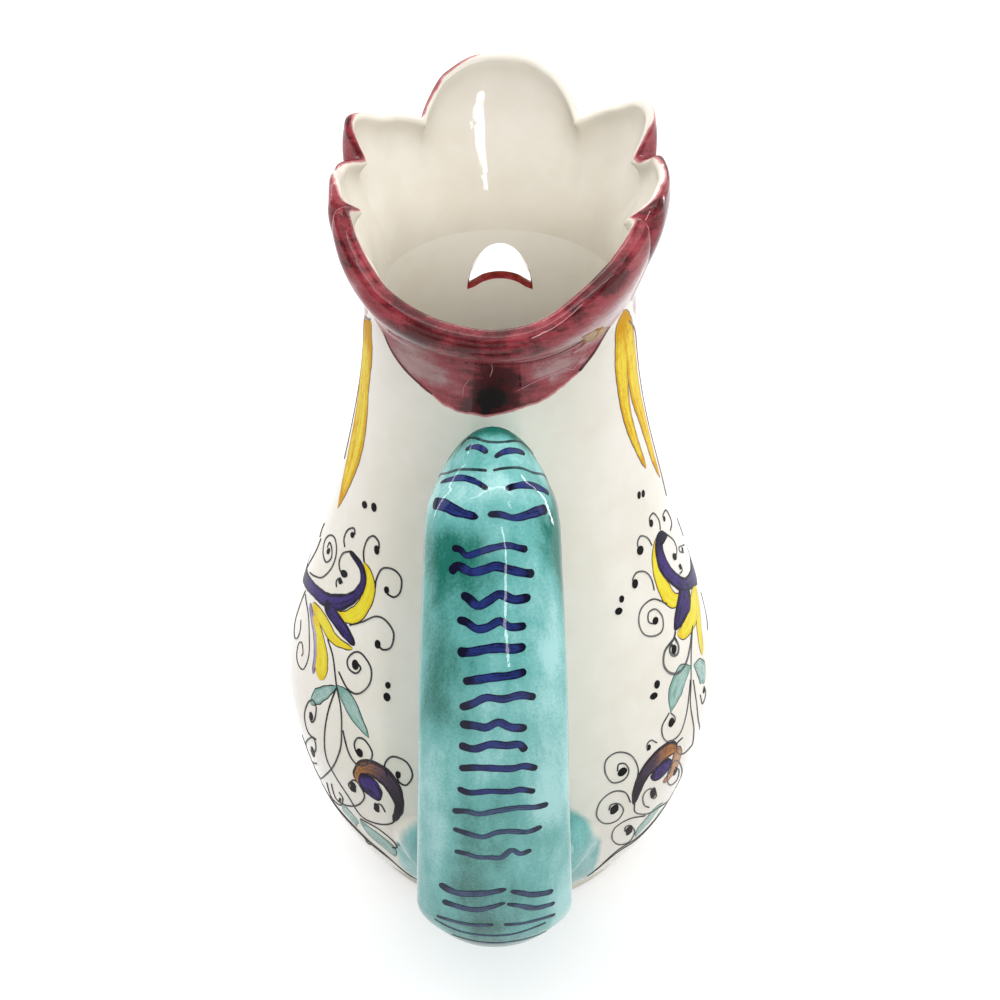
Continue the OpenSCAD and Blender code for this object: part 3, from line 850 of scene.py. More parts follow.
def tail_handle(material):
    """The strap: closed sections of a rounded block along the back's smooth line. Its first section
    lies in the neck's wall and its last in the pad, and the ones beside them go no deeper in the wall
    than the first."""
    t = np.linspace(0, 1, 300)
    turn = np.radians(np.arange(0, 360, 3.75))
    w = np.sign(np.cos(turn)) * np.abs(np.cos(turn)) ** (2 / BLOCKY)
    tt, ww = np.meshgrid(t, w, indexing="ij")
    points = strap_place(tt, ww, (np.sin(turn) < 0) + 0 * tt)
    x, y, z = np.moveaxis(points, -1, 0)
    y[0] = wall_y(x[0], z[0], -STRAP_SUNK)
    y[-1] = wall_y(x[-1], z[-1], np.maximum(pad_proud(x[-1], z[-1]) - 1, -SUNK))
    near = np.r_[1:12, len(t) - 11:len(t) - 1]
    y[near] = np.maximum(y[near], wall_y(x[near], z[near], -STRAP_SUNK))
    points = eased(points, t, turn)
    rows, cols = tt.shape
    ends = [points[0].mean(axis=0), points[-1].mean(axis=0)]
    tris = caps(np.arange(cols), (rows - 1) * cols + np.arange(cols), rows * cols)
    # The teal's pools and thinning, and painted shade on the strap's right side wall near its top
    darkness = sum(much * np.exp(-((100 * tt - place) / long) ** 2 - ((100 * ww - aside) / wide) ** 2)
               for place, aside, long, wide, much in TEAL_POOLS_AND_SIDE_SHADE)
    low = np.clip((tt - 0.52) / 0.12, 0, 1)
    values = {"darkening": np.append(darkness, [0, 0]), "low": np.append(low, [0, 1])}
    piece("tail_strap", np.vstack([points.reshape(-1, 3), ends]),
          grid_quads(rows, cols, wrap_cols=True), material, ["tail_handle"], tris, values)


# Paint


def body_place(angle, height, lift):
    """Point of the body's wall at an angle from the beak, in degrees, and a height, lifted outwards."""
    return round_axis(wall_r(height) + lift, np.radians(angle), height)


def neck_place(angle, height, lift):
    """Point of the body's wall, or above the neck of the comb's flank, lifted outwards."""
    value, taken = rim_values(angle % 360)
    top = COMB_H * (value[:, 0] - taken[:, 0]) - lip_thickness(angle) / 2
    rise = np.clip((height - NECK_Z) / top, 0, 1)
    radius = wall_r(height) + flank_out(angle, value[:, 1], taken[:, 1], rise) + lift
    return round_axis(radius, np.radians(angle), height)


def tail_place(along, across, lift):
    """Point of the handle's back at a percent of its length and of its half width, lifted outwards."""
    return strap_place(np.atleast_1d(along) / 100, np.atleast_1d(across) / 100,
                       0 * np.atleast_1d(along), lift)


# A stroke's rows: their distance in millimetres, and the fewest and the most of them
BRUSH_STEP = 0.65
FEWEST = 19
MOST = 103
# Breadth under which a stroke has three lines of points and not five, and half of a tip's breadth
NARROW = 1.2
TIP = 0.02
# Half of the breadth up to which a stroke's swelling grows with it
SWELL_TO = 1.2
# How deep a stroke's underside lies
BRUSH_SUNK = 0.25


def brush(place, width, path, lift):
    """One brush stroke: a strip along the smooth line through path, which is given in the surface's
    two parameters. Its breadths, in millimetres, are spread evenly along it, and swell a little with
    two sines. Its ends close as circles do. Returns its top, its bottom and its shares along and
    across."""
    path = np.array(path, float)
    line = smooth(path, np.linspace(0, len(path) - 1, 14 * len(path)))
    a, b = line.T
    here = place(a, b, lift)
    beside = (place(a + 0.5, b, lift), place(a, b + 0.5, lift))
    unit = np.stack([np.linalg.norm(other - here, axis=1) * 2 for other in beside], axis=1)
    run = np.gradient(line, axis=0) * unit
    pace = np.linalg.norm(run, axis=1)
    far = np.concatenate([[0], np.cumsum((pace[1:] + pace[:-1]) / 2)])
    side = np.stack([-run[:, 1], run[:, 0]], axis=1) / pace[:, None] / unit
    even = np.linspace(0, 1, int(np.clip(far[-1] / BRUSH_STEP + 3, FEWEST, MOST)))
    share = mix(even, 0.5 - 0.5 * np.cos(np.pi * even), 0.6)
    at = share * far[-1]
    centre = at_length(line, far, at)
    off = at_length(side, far, at)
    width = np.atleast_1d(np.array(width, float))
    half = np.interp(share, np.linspace(0, 1, len(width)), width) / 2
    swell = 0.05 * np.sin(1.3 * at + a[0]) + 0.04 * np.sin(0.5 * at + 2 * b[0])
    half = half + np.minimum(half, SWELL_TO) * swell
    cap = min(half.max(), far[-1] / 2)
    near = np.minimum(np.minimum(at, far[-1] - at) / cap, 1)
    half = np.maximum(half * np.sqrt(1 - (1 - near) ** 2), TIP)
    k = np.linspace(-1, 1, 3 if width.max() < NARROW else 5)
    spot = centre[:, None] + (half[:, None] * k[None, :])[..., None] * off[:, None]
    shape = spot.shape[:2] + (3,)
    a, b = spot.reshape(-1, 2).T
    top = place(a, b, lift).reshape(shape)
    bottom = place(a, b, -BRUSH_SUNK).reshape(shape)
    return top, bottom, share[:, None] + 0 * k, k + 0 * share[:, None]


def paint(name, place, strokes, material):
    """Brush strokes of one colour made one piece. Each stroke is its breadths, its path and its lift."""
    points = []
    quads = []
    values = {"along": [], "across": []}
    flat = []
    count = 0
    for width, path, lift in strokes:
        top, bottom, along, across = brush(place, width, path, lift)
        sheet, faces = closed_sheet(top, bottom)
        points.append(sheet)
        quads.append(faces + count)
        count += len(sheet)
        values["along"] += [along.ravel()] * 2
        values["across"] += [across.ravel()] * 2
        flat.append(np.arange(len(faces)) >= (top.shape[0] - 1) * (top.shape[1] - 1))
    values = {key: np.concatenate(rows) for key, rows in values.items()}
    piece(name, np.vstack(points), np.vstack(quads), material, values=values,
          flat=np.concatenate(flat))


def turned_about(axis, strokes):
    """The strokes and their mirror images about an angle."""
    return strokes + [(width, [(2 * axis - a, z) for a, z in path]) for width, path in strokes]


# Brushwork on the body: breadth, or breadths along the stroke, in millimetres, and the path's angles
# from the beak and heights
LEFT_DOTS = [
    (2.8, [(122.5, 153), (123.5, 151)]),
    (2.4, [(128, 155), (129, 152.5)]),
    (2, [(119.5, 141), (120.5, 139.5)]),
    (2.1, [(133.5, 143.5), (134.5, 141)]),
    (3.8, [(120.5, 128.5), (121.5, 126.5)]),
    (1.8, [(119.5, 125), (120.5, 123.5)]),
    (2.8, [(106.5, 127), (108, 126)]),
    (1.9, [(141, 133.5), (141.5, 131.5)]),
    (2.1, [(141.5, 116.5), (142, 114)]),
    (2.8, [(135, 106.5), (135.5, 103.5)]),
    (2, [(147.5, 105.5), (147.5, 103.5)]),
    (2.6, [(147.5, 102), (148, 99.5)]),
    (2.3, [(121, 76.5), (121, 73.5)]),
    (2.4, [(120.5, 60), (118.5, 54.5)]),
    (2.5, [(141.5, 79), (141.5, 76)]),
    (1.9, [(153.5, 77.5), (153.5, 75)]),
    (2.1, [(146.5, 59), (146, 54.5)]),
    (2.3, [(139, 63), (138.5, 58)]),
    (0.84, [(130.5, 46), (129, 42.5)])
]
LEFT_LINES = [
    (0.54, [(117.5, 134.5), (115.5, 136.5), (116.5, 140), (120, 142.5), (121.5, 141)]),
    (0.54, [(129.5, 136), (128, 139), (128.5, 143), (131, 145.5), (134, 145), (135, 143)]),
    (0.5, [(96, 109.5), (102.5, 113.5), (108.8, 118), (113, 124.5), (113.2, 130), (109.5, 132.5),
         (104.5, 130.5), (101.2, 126.2), (103.2, 123), (108, 123), (110.8, 126.5), (109.2, 128.8),
         (106, 128.8), (105.5, 126.5)]),
    (0.35, [(98, 104), (96.5, 96.5), (96, 89), (99.8, 86.8), (103.2, 89.5), (104, 93.5),
         (102.2, 96)]),
    (0.35, [(99, 103.5), (107, 102.2), (112.2, 97), (114.2, 92), (112.8, 86.2), (109, 84.2),
         (106, 85.2), (105.5, 89.5), (107.8, 92), (110.2, 90.5), (109.8, 88.5)]),
    (0.54, [(93.5, 127), (92.5, 124), (93.5, 121.5)]),
    (0.54, [(96, 123), (94.5, 116.5), (88.5, 105)]),
    (0.54, [(121.5, 135.5), (117.5, 132.5), (116.5, 129), (118.5, 127), (121, 127.5)]),
    (0.54, [(119, 121.5), (118, 123), (119.5, 125), (121.5, 124.5)]),
    (0.54, [(136.6, 131), (136.4, 134), (138, 138), (142.5, 139.5), (146, 138), (146.5, 134),
         (144.5, 131.5), (141.5, 131.5)]),
    (0.54, [(129.5, 115), (134.5, 119), (139, 123), (143, 123.5), (146.5, 121), (146.5, 116.5),
         (144, 114.5), (142, 115)]),
    (0.54, [(129.5, 99), (134.5, 96), (138.5, 97), (141.5, 102), (141, 107), (137, 109.5),
         (134, 108.5), (132, 105), (133, 102.5), (136, 102.5), (137.5, 105), (135.5, 106)]),
    (0.54, [(121.5, 105), (126, 101.5), (130, 94), (133, 88.5), (134.5, 81.5), (134.5, 73),
         (130, 60.5), (118.5, 42.5), (112.5, 39.5), (110, 46), (108, 52)]),
    (0.54, [(130, 93.5), (128.5, 84), (128, 74), (128.5, 64), (131, 59), (135.5, 52.5), (139, 45.5),
         (145, 47), (150.5, 52), (153.5, 60)]),
    (0.54, [(124, 68), (119, 66), (117, 71), (118.5, 78), (121, 81.5), (123, 80.5), (123, 76),
         (121.5, 73), (120, 74)]),
    (0.54, [(120, 52), (111, 42.5), (109.5, 47.5), (120, 64.5), (123, 66.5), (122.5, 61.5),
         (118, 54)]),
    (0.54, [(135, 81.5), (138, 74.5), (141, 72.5), (144.5, 75.5), (145.5, 80), (143, 83),
         (140.5, 82.5), (139.5, 79.5), (140.5, 77), (142, 77)]),
    (0.54, [(150.5, 74), (149.5, 78), (151.5, 82), (155.5, 82), (157.5, 78), (156, 73.5),
         (154, 73.5), (153, 76)]),
    (0.54, [(127.5, 50.5), (127, 42), (132.5, 44.5), (139, 51.5), (142.5, 59), (141.5, 63.5),
         (139.5, 64.5), (137, 60), (138, 57.5)]),
    (0.54, [(124, 47), (122.5, 37), (128.5, 40), (132, 47.5), (131, 50)]),
    (0.54, [(149, 56.5), (148, 59.5), (146.5, 58.5), (145.5, 55.5)]),
    (0.54, [(138, 43), (144.5, 44), (149, 41), (150, 37.5), (148, 35.5)]),
    (0.54, [(136, 30), (135.5, 25), (138, 27)])
]
LEFT_VIOLET = [
    ((6.3, 4, 3.7, 3.6, 4.1, 4.5, 2.6, 1.9, 1.1), [(83.5, 99.5), (103, 109.5), (116.5, 115),
         (124.5, 120), (129.5, 125.5), (131, 130.5), (128.5, 134), (124, 135), (120.5, 135)]),
    ((4.1, 4.5, 4.1, 1.8), [(115, 113.5), (123, 113), (129, 112), (133.5, 110.5)]),
    ((6, 9, 8.4, 5), [(142.6, 70.4), (147.4, 61)])
]
LEFT_YELLOW = [
    ((0.6, 2.9, 4.6, 4.6, 4.2, 3, 0.8), [(121, 114.5), (126.5, 116), (131.5, 120), (134, 125.5),
         (134.5, 130.5), (132.5, 134), (129, 136)]),
    ((1.8, 4.2, 4.4, 2.7, 0.7), [(107.5, 107), (116.5, 108), (124, 107), (129.5, 108), (133, 109)]),
    ((3.5, 4.9, 6.4, 8, 5.7), [(110.5, 105), (115, 103.5), (120, 99), (121.5, 94.5), (122.5, 90.5)])
]
LEFT_LILAC = [
    ((1.8, 2.3, 1.8, 1), [(105.5, 105.5), (113.5, 102), (117.5, 96), (118.5, 89.5)])
]
LEFT_LEAF = [
    ((0.3, 3.4, 4.7, 0.9), [(130, 94), (126.5, 89.5), (122.5, 84), (120, 79)]),
    ((0.5, 5.2, 5.6, 3, 0.4), [(130, 94.5), (135, 92.5), (139, 89), (142, 86.5), (144, 84.5)]),
    ((2, 10.6, 4.3), [(128.5, 37), (133, 39), (136.5, 39.5)]),
    ((1.8, 7.6, 8.1, 1.8), [(137.5, 42), (141, 38), (145.5, 35), (147.5, 29)])
]
LEFT_COMMA = [
    ((3.3, 3.3, 5.5, 7.1, 5.3, 3, 1.9, 0.7), [(141.5, 64), (141, 68.5), (143.5, 73), (147.5, 74),
         (151, 72), (153, 67.5), (153.5, 61.5), (151, 53)])
]
RIGHT_DOTS = [
    (1.7, [(241, 154.5), (240, 152.5)]),
    (1.8, [(244, 153.5), (243, 151.5)]),
    (2.3, [(244.5, 143), (243.5, 141)]),
    (1.8, [(255.5, 137.5), (254, 136.5)]),
    (3.2, [(234.5, 139.5), (233.5, 137)]),
    (2.6, [(228.5, 131.5), (227.5, 129)]),
    (1.7, [(221.5, 129.5), (221, 127.5)]),
    (2.6, [(219.5, 126.5), (219, 124.5)]),
    (2.7, [(233.5, 116), (232.5, 114)]),
    (3.8, [(254.5, 124.5), (253, 123)]),
    (2.7, [(238.5, 102.8), (237.5, 100.2)]),
    (2.5, [(228, 97.5), (227.5, 95)]),
    (3.1, [(226, 94.5), (225.5, 92.5)]),
    (2.8, [(231, 81.5), (230.5, 78.5)]),
    (1.4, [(221.5, 78.5), (221.5, 76.5)]),
    (2.3, [(224, 57), (225.5, 51)]),
    (3.3, [(212.5, 75.5), (212.5, 72.5)]),
    (3, [(210.5, 60.5), (211, 56)]),
    (2.7, [(218, 42.5), (219.5, 36.5)]),
    (1.6, [(264.5, 119), (262.5, 118.5)]),
    (1.8, [(256.5, 119), (255, 118)]),
    (2.1, [(234, 56.5), (235, 52.5)]),
    (1.8, [(250.5, 75.5), (250, 73.5)])
]
RIGHT_LINES = [
    (0.45, [(249, 136.5), (250, 139.5), (247.5, 143.5), (244, 144), (243, 142.5)]),
    (0.45, [(257, 131), (261.5, 131.5), (259.5, 137), (254.5, 138.5), (254.5, 137)]),
    (0.45, [(241, 136), (239.5, 139.5), (236, 142), (233.5, 141), (233.5, 138.5)]),
    (0.45, [(236, 123.5), (236, 127.5), (234, 131), (230, 133), (227.5, 132), (227.5, 130)]),
    (0.45, [(240.5, 116), (234.5, 121.5), (228.5, 122), (226, 118.5), (227, 114), (231, 111),
         (235, 110.5), (236.5, 114), (234.5, 118), (231, 119), (230, 116.5), (232, 114.5)]),
    (0.45, [(253.5, 132), (257.5, 127), (257.5, 123.5), (254, 123)]),
    (0.45, [(269, 116.5), (261, 122), (260, 121), (264, 117.5)]),
    (0.45, [(254.5, 119.5), (256.5, 118.5), (256.5, 116.5), (253.5, 117.5)]),
    (0.8, [(241, 106), (239, 104.5), (234, 104), (232, 100.5), (233.5, 96.5), (237, 93.5),
         (241.5, 93), (245.5, 95), (250.5, 99)]),
    (0.8, [(239.5, 105), (240.5, 101), (239, 99), (236.5, 100.5), (236, 103), (238, 103.5)]),
    (0.45, [(251.5, 99.5), (246.5, 94), (242.5, 85), (240.5, 76), (244.5, 56.5)]),
    (0.45, [(244, 85), (244, 77), (245.5, 66.5), (252, 54.5)]),
    (0.45, [(230.5, 84), (227, 81.5), (227, 77), (229.5, 73.5), (234, 72.5), (237.5, 76.5),
         (240.5, 82.5), (242.5, 86.5)]),
    (0.45, [(231, 83.5), (232.5, 80.5), (232, 79), (230.5, 79.5)]),
    (0.45, [(224.5, 77), (222.5, 79.5), (221, 79), (221, 76.5)]),
    (0.45, [(217.5, 56.5), (219, 49.5), (225.5, 42), (232.5, 38), (243, 29)]),
    (0.45, [(225, 46), (222, 50.5), (220.5, 56.5), (222, 58.5), (225, 55.5), (227, 50),
         (225.5, 50)]),
    (0.45, [(235.5, 69.5), (232.5, 69.5), (233.5, 64.5), (238, 59.5), (245, 56)]),
    (0.45, [(233.5, 58), (238, 50.5), (239, 44.5), (234, 48), (230.5, 55), (230.5, 61), (233.5, 61),
         (239.5, 50.5), (246.5, 36), (245, 33)]),
    (0.45, [(217, 66.5), (217.5, 72), (215.5, 78.5), (211.5, 82), (208, 81), (207.5, 76.5),
         (209.5, 71.5), (213, 70.5), (214.5, 73), (213.5, 76.5), (211.5, 77.5), (211, 75)]),
    (0.45, [(216, 57.5), (213.5, 64.5), (209.5, 67.5), (206, 65), (205.5, 58.5), (208.5, 52.5),
         (212.5, 51), (214, 55), (212, 60), (209.5, 61.5), (209, 59)]),
    (0.45, [(224.5, 42), (217.5, 47.5), (212.5, 47), (212.5, 40.5), (216.5, 33), (221.5, 29.5),
         (222, 35), (218.5, 42.5), (216.5, 43.5), (217, 40.5)]),
    (0.45, [(277.5, 120.5), (277.5, 117.5), (277.5, 113.5)]),
    (0.45, [(250.5, 76), (252, 71), (248.5, 70.5), (247, 76)]),
    (0.45, [(275, 91), (272.5, 84), (266, 83.5)])
]
RIGHT_VIOLET = [
    ((1.1, 4.8, 5, 4.1, 4, 3.7, 4.8, 8.1, 6.3), [(253.5, 132), (247, 134.5), (244.5, 132),
         (244.5, 127), (247.5, 121), (252.5, 114.5), (258.5, 110), (270.5, 104), (277, 101.5)]),
    ((10.3, 10.8, 7.2, 3.4), [(257.5, 110), (251, 109.5), (245, 108), (240.5, 106.5)]),
    ((7.5, 11.2, 9), [(227.7, 67.5), (226, 59.5)])
]
RIGHT_YELLOW = [
    ((0.9, 2.7, 4.5, 6, 4.3, 1.6), [(245, 136.5), (241, 133), (240, 127), (241.5, 120),
         (244.5, 114.5), (251, 111)]),
    ((3.3, 8.4, 8.6, 6, 2.4), [(266.5, 102.5), (260, 102), (251.5, 102), (245, 102.5),
         (241.5, 104.5)]),
    ((2, 5, 5.4, 4.8, 2.4), [(266, 102), (260.5, 98.5), (256.5, 95), (254.5, 90), (253.5, 85.8)])
]
RIGHT_LEAF = [
    ((0.6, 7.3, 8, 0.9), [(244.5, 90), (238.5, 91), (234.5, 88.5), (231, 83.5)]),
    ((0.4, 5.2, 7.6, 1.8), [(246, 89), (249.5, 84.5), (251.5, 79), (249.5, 78)]),
    ((1.3, 7.6, 7.6, 1), [(234, 38.5), (229.5, 38), (226, 34.5), (224, 29.5)]),
    ((1, 4.3, 1), [(242.5, 29), (241, 26.5), (234.5, 31.5)])
]
RIGHT_COMMA = [
    ((2.6, 6.4, 7.5, 5.4, 3.3, 1.3), [(233, 67), (228.5, 70.5), (223.5, 70), (220, 68), (218, 63),
         (217.5, 55)])
]
RIGHT_OCHRE = [
    ((3.3, 5.5, 5, 3), [(232.5, 68), (233.5, 61.5), (232.5, 56), (228.5, 56)])
]
# Strokes of the neck's feathers, of the spray on the breast, and the two lines round the foot
FEATHERS = [
    ((2, 10, 14, 14, 14, 13, 13.2, 12, 9, 5.3, 1.6), [(113, 208.5), (107, 203), (102.5, 195),
         (101.5, 189), (101.5, 183), (103, 179), (104.5, 173), (105, 167), (105, 158.5),
         (104.5, 150), (104, 140)]),
    ((3.5, 6.8, 7.4, 7, 6, 5, 4.2, 3.5, 2.5, 1), [(235.5, 216), (239, 211.5), (240, 208),
         (240.5, 203), (240.5, 197.5), (241, 189), (242, 180), (244, 173.5), (246.5, 167),
         (250.5, 157.5)]),
    ((1.1, 5, 6.9, 8.6, 9.8, 9.2, 7.8, 7.6, 6.5, 4.4, 1.6), [(236, 217), (244.5, 208.5),
         (247.5, 204.5), (251, 197.5), (253, 191), (254, 185), (256, 178.5), (259, 171), (261, 164),
         (262, 156), (264.5, 146)])
] + turned_about(180, [
    ((1, 5.2, 6.4, 4.4, 1), [(66, 168), (68, 160), (70, 150), (70, 140), (68, 132)]),
    ((1, 5.2, 6.4, 4.4, 1), [(44, 170), (46, 162), (47, 152), (46, 142), (44, 134)]),
    ((1, 4.6, 5.6, 4, 1), [(24, 174), (24.5, 166), (24, 156), (22, 147), (20, 140)])])
FEATHER_LINES = [
    (0.6, [(112, 209), (98, 203), (91, 193), (90, 180), (90, 168), (94, 152)]),
    (0.6, [(247, 209), (262, 198), (268, 185), (272, 168), (272, 150), (266, 138)])
] + turned_about(180, [
    (0.6, [(55, 168), (57, 156), (57, 144), (56, 136)]),
    (0.6, [(34, 172), (35, 160), (34, 148), (32, 141)])])
BREAST_LEAVES = (turned_about(1, [((0.3, 3, 2.8, 0.5), [(1, 96), (-3, 101), (-6, 107)])])
                 + turned_about(1, [((0.3, 2.6, 2.4, 0.5), [(1, 80), (-3, 84), (-5, 89)])]))
BREAST_LINES = [
    (0.8, [(1, 118), (1.3, 104), (0.8, 88), (1, 70), (1, 54)])
] + turned_about(1, [(0.8, [(1, 118), (-2, 123), (-5, 121), (-4.5, 117), (-2.5, 118)])])
BREAST_DOTS = [(1.9, [(1, 131), (1, 128)])] + turned_about(1, [(1.5, [(-1.5, 137), (-1.5, 135)])])
FOOT_LINES = [
    (0.6, [(150, 12.5), (144, 25), (138, 29), (127.5, 33), (100, 34), (60, 34), (20, 34), (-20, 34),
           (-60, 34), (-100, 34), (-117, 29.5), (-132, 27), (-143, 28.5), (-149.5, 18)]),
    (0.6, [(151, 10.5), (145, 23), (138, 27), (127.5, 31), (100, 32), (60, 32), (20, 32), (-20, 32),
           (-60, 32), (-100, 32), (-117, 27.5), (-132, 25), (-143, 26.5), (-150.5, 16)])]
# On the neck and the comb's underside behind: dark lines along the crimson's edge, painted shade as a
# dark line in the crease under the comb, pale veins in the glaze, and a dab of ochre
WINE_LINES_AND_CREASE_SHADE = [
    ((0.5, 0.8, 0.8, 0.7, 0.3), [(125, 209), (129, 206), (133, 204), (138, 201.9), (144.5, 199.8),
         (152, 197.4)]),
    (0.9, [(228, 214.5), (225.5, 210.9), (222, 208.2), (218, 206), (213.5, 203.6)]),
    # Painted shade: a dark line along the crease under the comb
    ((0.4, 0.7, 0.9, 0.6), [(166, 210), (180, 211), (188, 212), (198, 213), (206, 214.5), (212, 217)])]
VEINS = [
    (0.3, [(187, 201.5), (194.5, 204), (200, 205), (207, 206), (210.5, 205), (214, 208)]),
    (0.25, [(165, 199), (165.5, 202), (167.5, 204.5)]),
    (0.25, [(176, 206), (177, 209), (175.5, 212)])]
OCHRE_DAB = [((1.2, 6, 5.6, 2), [(209, 219), (215, 216.5), (221, 214.5), (227, 214.5)])]
# Strokes down the handle: breadth, and the path's percents of the length and of the half width
TAIL_STROKES = [
    ((1.3, 1.8, 1.5), [(19.5, 46), (19.5, 35), (20.1, 20), (21, 8)]),
    ((1.3, 1.9, 1.6), [(21.6, -4), (20.8, -19), (20.1, -37), (19.6, -56)]),
    ((0.96, 1.8, 1.3), [(22.8, 84), (23.2, 67), (23.6, 46), (24.3, 26), (25.3, 7)]),
    ((1.5, 2.1, 1.8), [(25.3, -20), (24.9, -33), (24.4, -56), (24.3, -72), (24.4, -88)]),
    ((3.7, 3.1, 1.8), [(25.9, 90), (26.5, 73), (27.5, 51), (28.2, 20)]),
    ((1.8, 1.8, 2.5, 3.1), [(27.9, 7), (27.9, -11), (28.2, -32), (27.8, -53), (26.9, -81)]),
    (1.8, [(31, 58), (31.1, 46), (31.6, 36), (31.3, 20), (30.9, -1), (30.7, -21), (30.9, -36),
         (31.1, -50)]),
    (2.4, [(33.1, 60), (32.5, 49), (32.9, 30), (32.7, 12), (32.4, -5), (32.7, -25), (33, -46),
         (33.1, -59)]),
    (2.4, [(34.6, 44), (34.8, 34), (35.3, 20), (34.9, 4), (34.5, -10), (34.9, -30), (34.8, -53)]),
    (2.2, [(36.3, 49), (36.4, 36), (36.8, 22), (36.7, 7), (36.3, -10), (36.7, -24), (36.7, -46)]),
    (2.6, [(38.4, 48), (38.3, 28), (38.1, 10), (38.0, -10), (38.1, -28), (38.0, -45)]),
    (2.4, [(40.3, 40), (40.1, 21), (39.9, 0), (39.8, -24), (39.6, -45)]),
    (2.2, [(42.2, 44), (41.8, 27), (41.3, 9), (41.4, -13), (41.2, -36), (41.5, -57)]),
    (2.4, [(43.4, 44), (43.4, 25), (43.5, 9), (43.1, -7), (43.5, -23), (43.7, -45)]),
    (2.4, [(45, 45), (45.2, 25), (44.8, 4), (44.9, -18), (44.9, -34), (45.5, -43)]),
    (2.2, [(46.9, 45), (46.7, 25), (46.7, 4), (46.8, -24), (46.7, -40), (47.1, -58)]),
    (1.9, [(48.6, 47), (48.9, 32), (48.7, 5), (48.8, -22), (48.7, -35), (49.1, -55)]),
    (1.9, [(50.9, 54), (50.7, 36), (50.9, 19), (50.6, -3), (50.4, -31), (50.6, -54), (50.6, -72)]),
    (1.9, [(52.8, 53), (53.1, 34), (53.4, 14), (52.9, -3), (52.8, -22), (53.1, -44), (52.8, -63)]),
    (1.8, [(55.5, 51), (55.6, 36), (55.9, 21), (55.9, 5), (55.9, -10), (55, -23), (55.6, -34),
         (55.3, -49)]),
    ((3, 2.8, 1.9), [(60.4, 70), (60.9, 59), (61.1, 44), (60.9, 25), (60.6, 5), (60.1, -16)]),
    ((1.7, 2.6, 2.2), [(60.4, -21), (60.8, -34), (61.3, -49), (61.6, -67), (61.7, -76)]),
    ((2.6, 2.3, 1.4), [(62.9, 67), (63, 53), (63.2, 37), (63.2, 22), (62.7, 4), (62, -14)]),
    ((1.4, 2.3, 1.9), [(62.2, -16), (62.7, -34), (63.4, -51), (63.6, -67), (63.7, -78)]),
    (1.4, [(66, 74), (65.9, 55), (66, 33), (65.9, 15), (65.7, 1)]),
    (1.3, [(65.7, -12), (65.8, -33), (65.7, -55), (65.9, -78)]),
    (0.81, [(67.1, 77), (68.2, 48), (68.6, 15), (68.4, -20), (67.4, -50), (67, -66)]),
    (0.81, [(71.4, 55), (71.8, 33), (72.4, 0), (72, -20), (72.2, -46), (72.6, -67)])]
# Thin green black lines over the crest
CREST_LINES = [
    (0.72, [(17.4, 55), (16.9, 44), (19.2, 11), (19, -25), (16.4, -58), (13.9, -74)]),
    (0.72, [(19.6, 93), (21.6, 77), (22.3, 54), (22.8, 33), (23.2, 8)]),
    (0.72, [(23.2, -1), (22.8, -24), (22.4, -47), (22.1, -71), (20.1, -93)])]


def lifted(strokes, lift):
    """Strokes with a lift in millimetres."""
    return [(width, path, lift) for width, path in strokes]


def outlined(strokes, lift, line=0.8):
    """Strokes a little broader, to show as a thin line round the ones over them."""
    return [(tuple(np.atleast_1d(width) + line), path, lift) for width, path in strokes]


# The flanks' middles as angles from the beak. The half of each that the photograph shows is mirrored
# about its middle for the half turned away
LEFT_MIDDLE = 83.5
RIGHT_MIDDLE = 277.0
# The eyes' height, and their angles from the beak
EYE_Z = 192
EYES = (50, 310)


def on_flanks(left, right):
    """Strokes of the two flanks with their mirror images."""
    return turned_about(LEFT_MIDDLE, left) + turned_about(RIGHT_MIDDLE, right)


def eye_discs(across):
    """A round spot for each eye as one stroke: its path is one diameter."""
    ends = (EYE_Z + across / 2, EYE_Z - across / 2)
    return [(across, [(angle, z) for z in ends]) for angle in EYES]


